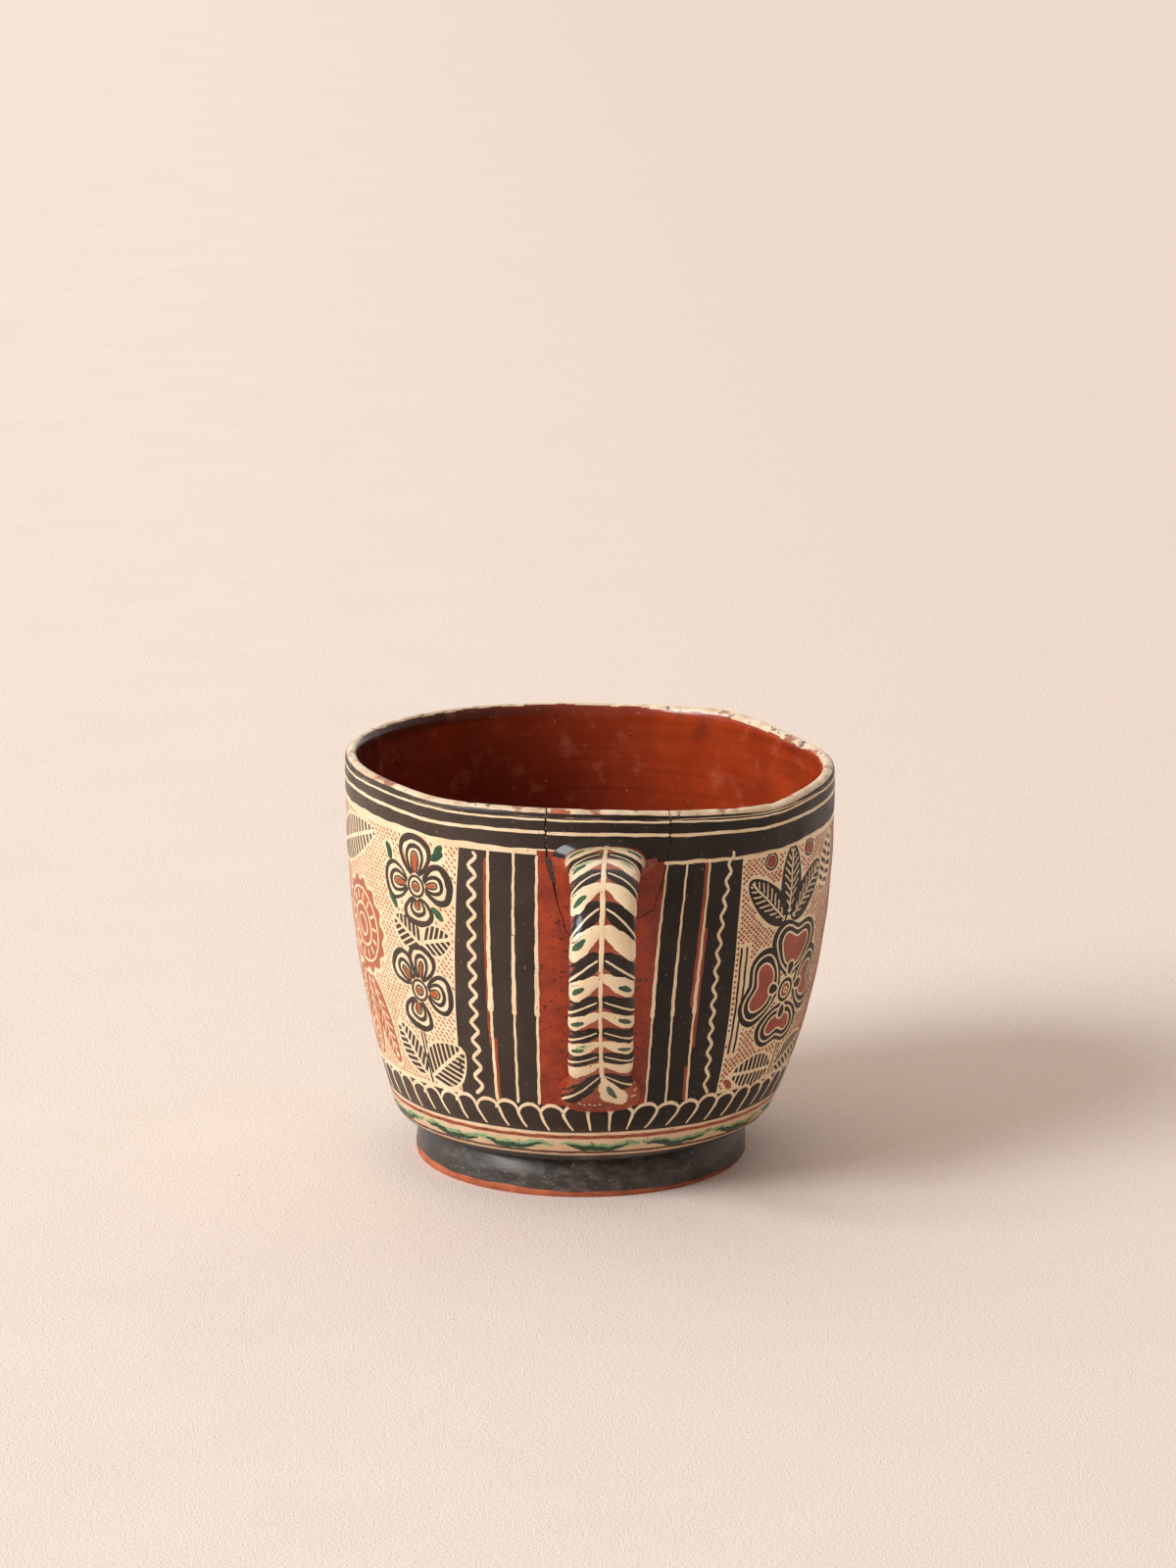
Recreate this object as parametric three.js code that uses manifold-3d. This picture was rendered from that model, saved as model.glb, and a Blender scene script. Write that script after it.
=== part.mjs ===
// A hand-built earthenware teacup: a thrown bowl on a separate foot ring, a strap handle luted on
// with two coils of clay, and a broken piece of the rim set back into its place.
// Millimetres, +Z up. The handle points along -Y and the cup stands on Z = 0.

import * as THREE from 'three';
import { mergeVertices } from 'three/addons/utils/BufferGeometryUtils.js';
import Module from 'manifold-3d';

const wasm = await Module();
wasm.setup();

// Bowl: the outside
const BOWL_HEIGHT = 76.7; // from the top of the foot ring to the top of the lip
const RIM_RADIUS = 50.1; // outside of the wall at the mouth
const TURN_RADIUS = 39.4; // outside of the wall where the underside turns up
const TURN_RISE = 4.5; // height of that turn above the foot ring
const WALL_SWELL = 2.55; // power of the wall's curve from the turn to the mouth
const UNDERSIDE_RISE = 1.4; // height of the bend that shapes the underside

// Bowl: the inside
const LIP_THICKNESS = 2.8;
const LIP_CROWN = 1.5; // height of the rounded top of the lip
const WALL_THICKNESS = 4.6; // low on the wall, thinning to the lip
const FLOOR_THICKNESS = 5.5;
const INNER_CORNER = 10; // round between the floor and the wall

// Bowl: what drying and firing did to it
const LEAN = 1.7; // sideways shift of the body on its foot, along +X
const LEAN_POWER = 5; // the higher, the lower on the wall the shift happens
const RIM_TILT = 0.0282; // fall of the rim towards +X, per millimetre
const RIM_WAVE = 0.3; // rise and fall of the rim, twice round

// Foot ring
const FOOT_HEIGHT = 7.5;
const FOOT_TOP_RADIUS = 32.6; // also the edge of the bowl's flat underside
const FOOT_RADIUS = 34.3; // widest, just above the table
const FOOT_FLARE_HEIGHT = 1.6; // height of the widest place
const FOOT_EDGE_ROUND = 0.7; // radius lost at the worn lower edge
const FOOT_RING_WIDTH = 6.4; // of the ring's flat resting face
const FOOT_TOP_WIDTH = 5.4; // of the face that is luted to the bowl

// Handle strap
const STRAP_WIDTH = 13.4;
const STRAP_ROOT_WIDTH = 16.2; // where it spreads on the wall
const STRAP_ROOT_LENGTH = 9; // length of each spreading end
const STRAP_THICKNESS = 6;
const STRAP_FULLNESS = 0.85; // 1 is a plain oval section, less is squarer
const UPPER_ROOT_DROP = 9.6; // middle of the upper root below the lip
const LOWER_ROOT_RISE = 17.5; // middle of the lower root above the foot ring
const UPPER_PULL = 36; // how far the strap's upper end heads out from the wall
const UPPER_LIFT = 2.9; // and up
const LOWER_PULL = 39; // the same for its lower end
const LOWER_LIFT = 26;
const STRAP_SWAY = -2.6; // sideways lean of the loop, along X

// Coils of clay round the strap's joints
const UPPER_COIL_SPREAD = 2.6; // beyond the strap's edge, on each side
const UPPER_COIL_RISE = 3; // beyond the strap's faces, above and below
const LOWER_COIL_SPREAD = 1.5;
const LOWER_COIL_RISE = 2.4;
const COIL_DEPTH = 3.6; // how far a coil stands out from the wall

// Broken piece of the rim, from the handle's middle plane
const SHERD_LEFT = 11.7;
const SHERD_RIGHT = 13.1;
const SHERD_CHEEK = 8.4; // length of its upright sides below the lip
const SHERD_LEFT_DEPTH = 25.6; // below the lip, where the crack passes behind the strap
const SHERD_RIGHT_DEPTH = 20;
const SHERD_TOE_LEFT = 7.6; // half-widths of its lower edge
const SHERD_TOE_RIGHT = 9.4;

const JOINT_GAP = 0.3; // between pieces that meet on a curved or broken face

// Fineness of the mesh
const SEGMENTS_ROUND = 56;
const WALL_ROWS = 12;
const CORNER_ROWS = 4;
const STRAP_RINGS = 30;
const STRAP_SIDES = 20;
const COIL_SEGMENTS = 24;
const COIL_ROWS = 14;

const CLAY = 0xae5532;
const BLACK_SLIP = 0x2d2826;
const RED_SLIP = 0x8f3a1e;

const LIP_TOP = FOOT_HEIGHT + BOWL_HEIGHT;
const TURN_HEIGHT = FOOT_HEIGHT + TURN_RISE;
const LIP_SHOULDER = LIP_TOP - LIP_CROWN;

// Height along the wall, 0 at the turn and 1 where the lip starts to round over
const wallShare = (z) => (z - TURN_HEIGHT) / (LIP_SHOULDER - TURN_HEIGHT);

function outerRadius(z) {
  const left = Math.max(0, 1 - wallShare(z));
  return TURN_RADIUS + (RIM_RADIUS - TURN_RADIUS) * (1 - left ** WALL_SWELL);
}

function wallThickness(z) {
  const share = THREE.MathUtils.clamp(wallShare(z), 0, 1);
  return THREE.MathUtils.lerp(WALL_THICKNESS, LIP_THICKNESS, share);
}

const innerRadius = (z) => outerRadius(z) - wallThickness(z);

// How fast a radius grows with height
const slopeAt = (radius, z) => radius(z + 0.5) - radius(z - 0.5);

// The wheel leaves a true round; the soft clay then leans, tilts and waves, more towards the rim.
function settle(point) {
  const share = THREE.MathUtils.clamp((point.z - FOOT_HEIGHT) / BOWL_HEIGHT, 0, 1);
  const angle = Math.atan2(point.y, point.x);
  const shift = LEAN * (1 - (1 - share) ** LEAN_POWER);
  const x = point.x + shift;
  const rise = RIM_WAVE * Math.sin(2 * angle) - RIM_TILT * x;
  const nearAxis = Math.min(1, Math.hypot(point.x, point.y) / TURN_RADIUS);
  return new THREE.Vector3(x, point.y, point.z + share * rise * nearAxis);
}

// Underside and outside of the wall, from the foot ring up to the lip
function outsideProfile(grow) {
  const slope = ((RIM_RADIUS - TURN_RADIUS) * WALL_SWELL) / (LIP_SHOULDER - TURN_HEIGHT);
  const bend = new THREE.Vector2(
    TURN_RADIUS - slope * (TURN_RISE - UNDERSIDE_RISE),
    FOOT_HEIGHT + UNDERSIDE_RISE,
  );
  const seat = new THREE.Vector2(FOOT_TOP_RADIUS, FOOT_HEIGHT);
  const turn = new THREE.Vector2(TURN_RADIUS, TURN_HEIGHT);
  const points = new THREE.QuadraticBezierCurve(seat, bend, turn).getPoints(CORNER_ROWS);
  for (let row = 1; row <= WALL_ROWS; row += 1) {
    const z = TURN_HEIGHT + (LIP_SHOULDER - TURN_HEIGHT) * (row / WALL_ROWS);
    points.push(new THREE.Vector2(outerRadius(z), z));
  }
  return points.map((p) => new THREE.Vector2(p.x + grow, p.y));
}

function lipProfile() {
  const middle = RIM_RADIUS - LIP_THICKNESS / 2;
  const arc = new THREE.EllipseCurve(middle, LIP_SHOULDER, LIP_THICKNESS / 2, LIP_CROWN, 0, Math.PI);
  return arc.getPoints(2 * CORNER_ROWS).slice(1, -1);
}

function insideProfile() {
  const floor = FOOT_HEIGHT + FLOOR_THICKNESS;
  const cornerTop = floor + INNER_CORNER;
  const points = [];
  for (let row = 0; row <= WALL_ROWS; row += 1) {
    const z = LIP_SHOULDER + (cornerTop - LIP_SHOULDER) * (row / WALL_ROWS);
    points.push(new THREE.Vector2(innerRadius(z), z));
  }
  const wall = points.at(-1);
  const bend = new THREE.Vector2(wall.x - slopeAt(innerRadius, cornerTop) * INNER_CORNER, floor);
  const flat = new THREE.Vector2(bend.x - INNER_CORNER, floor);
  const corner = new THREE.QuadraticBezierCurve(wall, bend, flat).getPoints(CORNER_ROWS);
  return [...points, ...corner.slice(1), new THREE.Vector2(0, floor)];
}

// A lathe turns about Y, so the result is stood up to turn about Z.
function turned(profile) {
  return new THREE.LatheGeometry(profile, SEGMENTS_ROUND).rotateX(Math.PI / 2);
}

function moved(geometry, move) {
  const positions = geometry.attributes.position;
  const point = new THREE.Vector3();
  for (let i = 0; i < positions.count; i += 1) {
    const next = move(point.fromBufferAttribute(positions, i));
    positions.setXYZ(i, next.x, next.y, next.z);
  }
  return geometry;
}

function solid(geometry) {
  geometry.deleteAttribute('normal');
  geometry.deleteAttribute('uv');
  const merged = mergeVertices(geometry, 1e-4);
  return new wasm.Manifold(new wasm.Mesh({
    numProp: 3,
    vertProperties: new Float32Array(merged.attributes.position.array),
    triVerts: new Uint32Array(merged.index.array),
  }));
}

function bowlSolid() {
  const profile = [
    new THREE.Vector2(0, FOOT_HEIGHT),
    ...outsideProfile(0),
    ...lipProfile(),
    ...insideProfile(),
  ];
  return solid(moved(turned(profile), settle));
}

// Everything inside the wall's outer face, grown by a gap: it trims what is luted onto the wall.
function wallCutter() {
  const outside = outsideProfile(JOINT_GAP);
  const profile = [
    new THREE.Vector2(0, FOOT_HEIGHT),
    ...outside,
    new THREE.Vector2(outside.at(-1).x, LIP_TOP),
    new THREE.Vector2(0, LIP_TOP),
  ];
  return solid(moved(turned(profile), settle));
}

function footRing() {
  const restOuter = FOOT_RADIUS - FOOT_EDGE_ROUND;
  const restInner = restOuter - FOOT_RING_WIDTH;
  const flare = new THREE.QuadraticBezierCurve(
    new THREE.Vector2(FOOT_RADIUS, FOOT_FLARE_HEIGHT),
    new THREE.Vector2(FOOT_RADIUS, (FOOT_FLARE_HEIGHT + FOOT_HEIGHT) / 2),
    new THREE.Vector2(FOOT_TOP_RADIUS, FOOT_HEIGHT),
  );
  const edge = new THREE.QuadraticBezierCurve(
    new THREE.Vector2(restOuter, 0),
    new THREE.Vector2(FOOT_RADIUS, 0),
    new THREE.Vector2(FOOT_RADIUS, FOOT_FLARE_HEIGHT),
  );
  const profile = [
    new THREE.Vector2(restInner, 0),
    ...edge.getPoints(CORNER_ROWS),
    ...flare.getPoints(CORNER_ROWS).slice(1),
    new THREE.Vector2(FOOT_TOP_RADIUS - FOOT_TOP_WIDTH, FOOT_HEIGHT),
    new THREE.Vector2(restInner, 0),
  ];
  return solid(turned(profile));
}

// Middle line of the strap: out of the wall below the rim, round, and back in above the foot.
const upperRootZ = LIP_TOP - UPPER_ROOT_DROP;
const lowerRootZ = FOOT_HEIGHT + LOWER_ROOT_RISE;
const upperRoot = settle(new THREE.Vector3(0, -outerRadius(upperRootZ), upperRootZ));
const lowerRoot = settle(new THREE.Vector3(0, -outerRadius(lowerRootZ), lowerRootZ));
const strapLine = new THREE.CubicBezierCurve3(
  upperRoot,
  upperRoot.clone().add(new THREE.Vector3(STRAP_SWAY, -UPPER_PULL, UPPER_LIFT)),
  lowerRoot.clone().add(new THREE.Vector3(STRAP_SWAY, -LOWER_PULL, LOWER_LIFT)),
  lowerRoot,
);
const strapLength = strapLine.getLength();

function strapWidth(share) {
  const fromEnd = Math.min(share, 1 - share) * strapLength;
  const spread = Math.max(0, 1 - fromEnd / STRAP_ROOT_LENGTH);
  return STRAP_WIDTH + (STRAP_ROOT_WIDTH - STRAP_WIDTH) * spread ** 2;
}

const fuller = (share) => Math.sign(share) * Math.abs(share) ** STRAP_FULLNESS;

// One oval ring of the strap across its middle line
function strapRing(centre, along, width, grow) {
  const across = new THREE.Vector3(1, 0, 0).addScaledVector(along, -along.x).normalize();
  const outward = new THREE.Vector3().crossVectors(along, across);
  const ring = [];
  for (let side = 0; side < STRAP_SIDES; side += 1) {
    const angle = (2 * Math.PI * side) / STRAP_SIDES;
    ring.push(centre.clone()
      .addScaledVector(across, fuller(Math.cos(angle)) * (width / 2 + grow))
      .addScaledVector(outward, fuller(Math.sin(angle)) * (STRAP_THICKNESS / 2 + grow)));
  }
  return ring;
}

// The strap, with both ends run on into the wall for the wall cutter to trim
function strapSolid(grow) {
  const rings = [];
  for (let i = 0; i <= STRAP_RINGS; i += 1) {
    const share = i / STRAP_RINGS;
    const along = strapLine.getTangentAt(share);
    rings.push(strapRing(strapLine.getPointAt(share), along, strapWidth(share), grow));
  }
  const start = strapLine.getTangentAt(0).multiplyScalar(-STRAP_THICKNESS);
  const end = strapLine.getTangentAt(1).multiplyScalar(STRAP_THICKNESS);
  rings.unshift(rings[0].map((p) => p.clone().add(start)));
  rings.push(rings.at(-1).map((p) => p.clone().add(end)));

  const positions = rings.flat().flatMap((p) => [p.x, p.y, p.z]);
  const index = [];
  for (let i = 0; i < rings.length - 1; i += 1) {
    for (let side = 0; side < STRAP_SIDES; side += 1) {
      const a = i * STRAP_SIDES + side;
      const b = i * STRAP_SIDES + ((side + 1) % STRAP_SIDES);
      index.push(a, b, a + STRAP_SIDES, b, b + STRAP_SIDES, a + STRAP_SIDES);
    }
  }
  const last = (rings.length - 1) * STRAP_SIDES;
  for (let side = 1; side < STRAP_SIDES - 1; side += 1) {
    index.push(0, side + 1, side);
    index.push(last, last + side, last + side + 1);
  }
  const geometry = new THREE.BufferGeometry();
  geometry.setAttribute('position', new THREE.Float32BufferAttribute(positions, 3));
  geometry.setIndex(index);
  return solid(geometry);
}

// A pressed mound of clay that lies on the wall, pierced by the strap that heads out of it
function coilSolid(root, rootZ, heading, spread, rise) {
  const slope = slopeAt(outerRadius, rootZ);
  const wallNormal = new THREE.Vector3(0, -1, -slope).normalize();
  const strapFootprint = STRAP_THICKNESS / 2 / heading.dot(wallNormal);
  const mound = new THREE.SphereGeometry(1, COIL_SEGMENTS, COIL_ROWS);
  mound.scale(STRAP_ROOT_WIDTH / 2 + spread, COIL_DEPTH, strapFootprint + rise);
  mound.rotateX(Math.atan(slope));
  mound.translate(root.x, root.y, root.z);
  return solid(mound).subtract(strapSolid(JOINT_GAP)).subtract(wallCutter());
}

// Outline of the broken piece seen from the front, reaching above the lip
function sherdCutter(grow) {
  const middle = upperRoot.x;
  const above = LIP_TOP + UPPER_ROOT_DROP;
  const cheek = LIP_TOP - SHERD_CHEEK;
  const leftToe = LIP_TOP - SHERD_LEFT_DEPTH;
  const rightToe = LIP_TOP - SHERD_RIGHT_DEPTH;
  const outline = new THREE.Shape([
    new THREE.Vector2(middle - SHERD_LEFT - grow, above),
    new THREE.Vector2(middle - SHERD_LEFT - grow, cheek),
    new THREE.Vector2(middle - SHERD_TOE_LEFT - grow, leftToe - grow),
    new THREE.Vector2(middle, leftToe - grow),
    new THREE.Vector2(middle + SHERD_TOE_RIGHT + grow, rightToe - grow),
    new THREE.Vector2(middle + SHERD_RIGHT + grow, cheek),
    new THREE.Vector2(middle + SHERD_RIGHT + grow, above),
  ]);
  const depth = 2 * RIM_RADIUS;
  const block = new THREE.ExtrudeGeometry(outline, { depth, bevelEnabled: false });
  return solid(block.rotateX(Math.PI / 2));
}

const bowl = bowlSolid();
const strap = strapSolid(0).subtract(wallCutter());
const upperHeading = strapLine.getTangentAt(0);
const lowerHeading = strapLine.getTangentAt(1).negate();
const upperCoil = coilSolid(upperRoot, upperRootZ, upperHeading, UPPER_COIL_SPREAD, UPPER_COIL_RISE);
const lowerCoil = coilSolid(lowerRoot, lowerRootZ, lowerHeading, LOWER_COIL_SPREAD, LOWER_COIL_RISE);

function piece(name, shape, colour, roughness) {
  const made = shape.getMesh();
  const geometry = new THREE.BufferGeometry();
  geometry.setAttribute('position', new THREE.BufferAttribute(new Float32Array(made.vertProperties), 3));
  geometry.setIndex(new THREE.BufferAttribute(new Uint32Array(made.triVerts), 1));
  geometry.computeVertexNormals();
  const material = new THREE.MeshStandardMaterial({ color: colour, roughness, metalness: 0 });
  const mesh = new THREE.Mesh(geometry, material);
  mesh.name = name;
  return mesh;
}

const cup = new THREE.Group();
cup.add(
  piece('bowl', bowl.subtract(sherdCutter(JOINT_GAP)), CLAY, 0.45),
  piece('rim_sherd', bowl.intersect(sherdCutter(0)), RED_SLIP, 0.45),
  piece('handle_strap', strap, RED_SLIP, 0.35),
  piece('upper_luting_coil', upperCoil, BLACK_SLIP, 0.4),
  piece('lower_luting_coil', lowerCoil, RED_SLIP, 0.45),
  piece('foot_ring', footRing(), BLACK_SLIP, 0.4),
);

// The middle of the whole cup's outline stands over the origin.
const box = new THREE.Box3().setFromObject(cup);
const middle = box.getCenter(new THREE.Vector3());
cup.position.set(-middle.x, -middle.y, -box.min.z);
cup.updateMatrixWorld(true);

export default cup;
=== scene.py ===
# %% [markdown]
# # A slip-painted earthenware teacup
# The real cup was shaped by hand, coated in cream slip, painted with black, red and green slips,
# and given its soft shine by burnishing or a thin glaze.
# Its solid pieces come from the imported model. This lesson gives them fine surfaces, a painting and
# a finish. Everything shares one frame in metres, so each new piece is made where its solid stands.

# %% Load the solid cup
import math
import random
from collections import namedtuple

import bmesh
import bpy
import numpy as np
from mathutils import Matrix, Vector
from mathutils.geometry import delaunay_2d_cdt


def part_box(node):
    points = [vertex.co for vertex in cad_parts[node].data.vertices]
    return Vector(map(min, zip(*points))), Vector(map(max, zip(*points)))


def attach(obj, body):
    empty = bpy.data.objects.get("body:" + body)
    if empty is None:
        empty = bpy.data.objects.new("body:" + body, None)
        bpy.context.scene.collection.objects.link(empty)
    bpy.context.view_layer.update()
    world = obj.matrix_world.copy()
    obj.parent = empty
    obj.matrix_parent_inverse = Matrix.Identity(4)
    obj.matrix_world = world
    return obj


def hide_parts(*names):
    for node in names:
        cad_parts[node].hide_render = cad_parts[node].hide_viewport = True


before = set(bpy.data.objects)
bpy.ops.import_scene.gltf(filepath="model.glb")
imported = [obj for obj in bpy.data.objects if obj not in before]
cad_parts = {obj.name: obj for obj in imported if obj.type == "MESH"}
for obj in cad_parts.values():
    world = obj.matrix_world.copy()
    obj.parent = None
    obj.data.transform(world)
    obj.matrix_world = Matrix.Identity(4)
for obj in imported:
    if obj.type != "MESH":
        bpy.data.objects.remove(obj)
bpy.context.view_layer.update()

MM = 0.001
print("solid pieces:", sorted(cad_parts))

# %% [markdown]
# ## The shape of the wall
# A potter's profile is one curve turned about an axis, and the soft clay then leans and tilts a little.
# The bowl could be a lathe modifier, but the painting has to lie on the same surface, so the wall is
# a formula: an angle round the cup, a height and a lift off the wall give a point.
# Angles are in degrees from the handle, growing to the right as one looks at the handle.
# Lengths are in millimetres.

# %% Sizes of the bowl and the foot
LIP_TOP = 84.2
LIP_CROWN = 1.5
LIP_THICKNESS = 2.8
RIM_RADIUS = 50.1
TURN_RADIUS = 39.4
TURN_HEIGHT = 12.0
WALL_SWELL = 2.55
WALL_THICKNESS = 4.6
INNER_FLOOR = 13.0
INNER_CORNER = 10.0
UNDERSIDE_BEND = 1.4
FOOT_HEIGHT = 7.5
FOOT_TOP_RADIUS = 32.6
FOOT_RADIUS = 34.3
FOOT_FLARE_HEIGHT = 1.6
FOOT_EDGE_ROUND = 0.7
FOOT_RING_WIDTH = 6.4
FOOT_TOP_WIDTH = 5.4
LEAN = 1.7
LEAN_POWER = 5
RIM_TILT = 0.0282
RIM_WAVE = 0.3
Bump = namedtuple("Bump", "angle rise spread")
RIM_DIPS = [  # where the soft rim was handled
    Bump(0, 0.5, 16), Bump(-41, -0.65, 13), Bump(43, -0.85, 13),
    Bump(112, -0.9, 13), Bump(141, 0.7, 12), Bump(180, -0.6, 28),
]
HAND_WOBBLE = 0.16  # unevenness that the potter's fingers left
LIP_SHOULDER = LIP_TOP - LIP_CROWN

foot_low, foot_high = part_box("foot_ring")
AXIS = np.array([(foot_low.x + foot_high.x) / 2, (foot_low.y + foot_high.y) / 2, 0.0])
print("the cup's axis stands at", np.round(AXIS / MM, 2), "mm")


# %% The wall as a formula
def curve_through(start, bend, end, share):
    """A quadratic curve between two ends, pulled towards a bend."""
    start, bend, end = np.array([start, bend, end], float)
    share = np.asarray(share, float)[..., None]
    return (1 - share) ** 2 * start + 2 * share * (1 - share) * bend + share ** 2 * end


WALL_SLOPE = (RIM_RADIUS - TURN_RADIUS) * WALL_SWELL / (LIP_SHOULDER - TURN_HEIGHT)
BEND_HEIGHT = FOOT_HEIGHT + UNDERSIDE_BEND
underside = curve_through(
    (FOOT_TOP_RADIUS, FOOT_HEIGHT),
    (TURN_RADIUS - WALL_SLOPE * (TURN_HEIGHT - BEND_HEIGHT), BEND_HEIGHT),
    (TURN_RADIUS, TURN_HEIGHT),
    np.linspace(0, 1, 60),
)


def outer_radius(z):
    """Radius of the outside, from the foot ring's top up over the outer half of the lip."""
    z = np.asarray(z, float)
    left = np.clip(1 - (z - TURN_HEIGHT) / (LIP_SHOULDER - TURN_HEIGHT), 0, 1)
    wall = TURN_RADIUS + (RIM_RADIUS - TURN_RADIUS) * (1 - left ** WALL_SWELL)
    crown = np.clip((z - LIP_SHOULDER) / LIP_CROWN, 0, 1)
    wall = wall - LIP_THICKNESS / 2 * (1 - np.sqrt(1 - crown ** 2))
    return np.where(z < TURN_HEIGHT, np.interp(z, underside[:, 1], underside[:, 0]), wall)


def inner_radius(z):
    """Radius of the inside, where the wall thins towards the lip."""
    share = np.clip((np.asarray(z, float) - TURN_HEIGHT) / (LIP_SHOULDER - TURN_HEIGHT), 0, 1)
    outside = outer_radius(np.minimum(z, LIP_SHOULDER))
    return outside - WALL_THICKNESS + (WALL_THICKNESS - LIP_THICKNESS) * share


def as_arrays(*values):
    """Numbers and arrays as arrays of one shape."""
    return np.broadcast_arrays(*(np.asarray(value, float) for value in values))


def signed(angle):
    """The same angle, counted from -180 to 180."""
    return (np.asarray(angle, float) + 180) % 360 - 180


def sum_of_bumps(bumps, angle):
    """How far a row of soft bumps raises the rim at each angle."""
    rise = np.zeros_like(angle)
    for bump in bumps:
        rise = rise + bump.rise * np.exp(-(signed(angle - bump.angle) / bump.spread) ** 2)
    return rise


def settled(angle, radius, z):
    """A turned point after the soft clay leaned, tilted and took the marks of the fingers, in metres."""
    angle = np.asarray(angle, float)
    turn = np.radians(angle)
    share = np.clip((z - FOOT_HEIGHT) / (LIP_TOP - FOOT_HEIGHT), 0, 1)
    fingers = np.sin(3 * turn + 0.6 + 0.04 * z) + 0.6 * np.sin(5 * turn - 0.09 * z) + 0.4 * np.sin(0.5 * z)
    near_axis = np.minimum(1, radius / TURN_RADIUS)
    radius = radius + HAND_WOBBLE * share * near_axis * fingers
    x = radius * np.sin(turn) + LEAN * (1 - (1 - share) ** LEAN_POWER)
    y = -radius * np.cos(turn)
    wave = RIM_WAVE * np.sin(2 * (turn - math.pi / 2)) + share ** 2 * sum_of_bumps(RIM_DIPS, angle)
    height = z + share * near_axis * (wave - RIM_TILT * x)
    return np.stack([x, y, height], -1) * MM + AXIS


def on_wall(angle, z, lift=0.0):
    """A point on the outside of the bowl, lifted off it along the wall's normal."""
    angle, z, lift = as_arrays(angle, z, lift)
    step = 0.05
    highest = LIP_TOP - 0.03  # the lip's very top is level, and the slope there endless
    top = np.minimum(z + step, highest)
    slope = (outer_radius(top) - outer_radius(top - 2 * step)) / (2 * step)
    length = np.hypot(1, slope)
    return settled(angle, outer_radius(z) + lift / length, z - lift * slope / length)


def wall_degree(z):
    """Millimetres in one degree round the wall."""
    return np.radians(outer_radius(z))


print("mouth", round(float(2 * outer_radius(LIP_SHOULDER)), 1), "mm across,",
      "middle", round(float(2 * outer_radius(LIP_TOP / 2)), 1), "mm")

# %% [markdown]
# ## The camera
# The photograph looks slightly down at the handle from a little over a metre, through a long lens.
# The eye is placed from those angles and turned so that the cup sits where it sits in the photograph.
# A lens shift would do this too, but it would push the cup aside in every other view.


# %% Camera
def into_scene(name, data):
    """A new object in the scene, for a camera, a light or a mesh."""
    made = bpy.data.objects.new(name, data)
    bpy.context.scene.collection.objects.link(made)
    return made


PHOTO_SIZE = (1200, 1600)
AIM_PIXEL = (592.8, 971.2)  # where the middle of the cup shows in the photograph
FOCAL_PIXELS = 5675.0
EYE_DISTANCE = 1.150
EYE_ELEVATION = math.radians(15.73)
EYE_LEFT = math.radians(3.5)
SENSOR = 36.0

aim = Vector(AXIS) + Vector((0, 0, LIP_TOP / 2 * MM))
back = Vector((
    -math.sin(EYE_LEFT) * math.cos(EYE_ELEVATION),
    -math.cos(EYE_LEFT) * math.cos(EYE_ELEVATION),
    math.sin(EYE_ELEVATION),
))
pitch = math.atan((AIM_PIXEL[1] - PHOTO_SIZE[1] / 2) / FOCAL_PIXELS)
yaw = math.atan((AIM_PIXEL[0] - PHOTO_SIZE[0] / 2) / FOCAL_PIXELS)
camera_data = bpy.data.cameras.new("photo_camera")
camera_data.sensor_width = SENSOR
camera_data.lens = FOCAL_PIXELS / PHOTO_SIZE[1] * SENSOR
camera = into_scene("photo_camera", camera_data)
facing = (-back).to_track_quat("-Z", "Y").to_matrix()
camera.matrix_world = Matrix.Translation(aim + back * EYE_DISTANCE) @ (
    facing @ Matrix.Rotation(pitch, 3, "X") @ Matrix.Rotation(yaw, 3, "Y")
).to_4x4()
bpy.context.scene.camera = camera
print("lens", round(camera_data.lens, 1), "mm, eye at", [round(v, 3) for v in camera.location])

# %% [markdown]
# ## Finishes
# Every finish here is fired clay, slip or glaze, and no such surface is one flat colour: slip lies
# thicker and thinner, dust and iron leave specks, and the glaze dulls where hands touch it.
# Image textures could show that, but noise built from nodes stays sharp at any distance,
# so each finish is a short recipe of nodes.


# %% Colour and node helpers
def srgb(red, green, blue):
    """A colour as the eye reads it, 0 to 255, turned into linear values."""
    shares = np.array([red, green, blue]) / 255
    linear = np.where(shares <= 0.04045, shares / 12.92, ((shares + 0.055) / 1.055) ** 2.4)
    return (*linear.tolist(), 1.0)


def add_node(tree, kind, inputs, **settings):
    """One node, each of its inputs linked to a socket or set to a value."""
    made = tree.nodes.new("ShaderNode" + kind)
    for key, value in settings.items():
        setattr(made, key, value)
    for key, value in inputs.items():
        if isinstance(value, bpy.types.NodeSocket):
            tree.links.new(value, made.inputs[key])
        else:
            made.inputs[key].default_value = value
    return made


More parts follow.
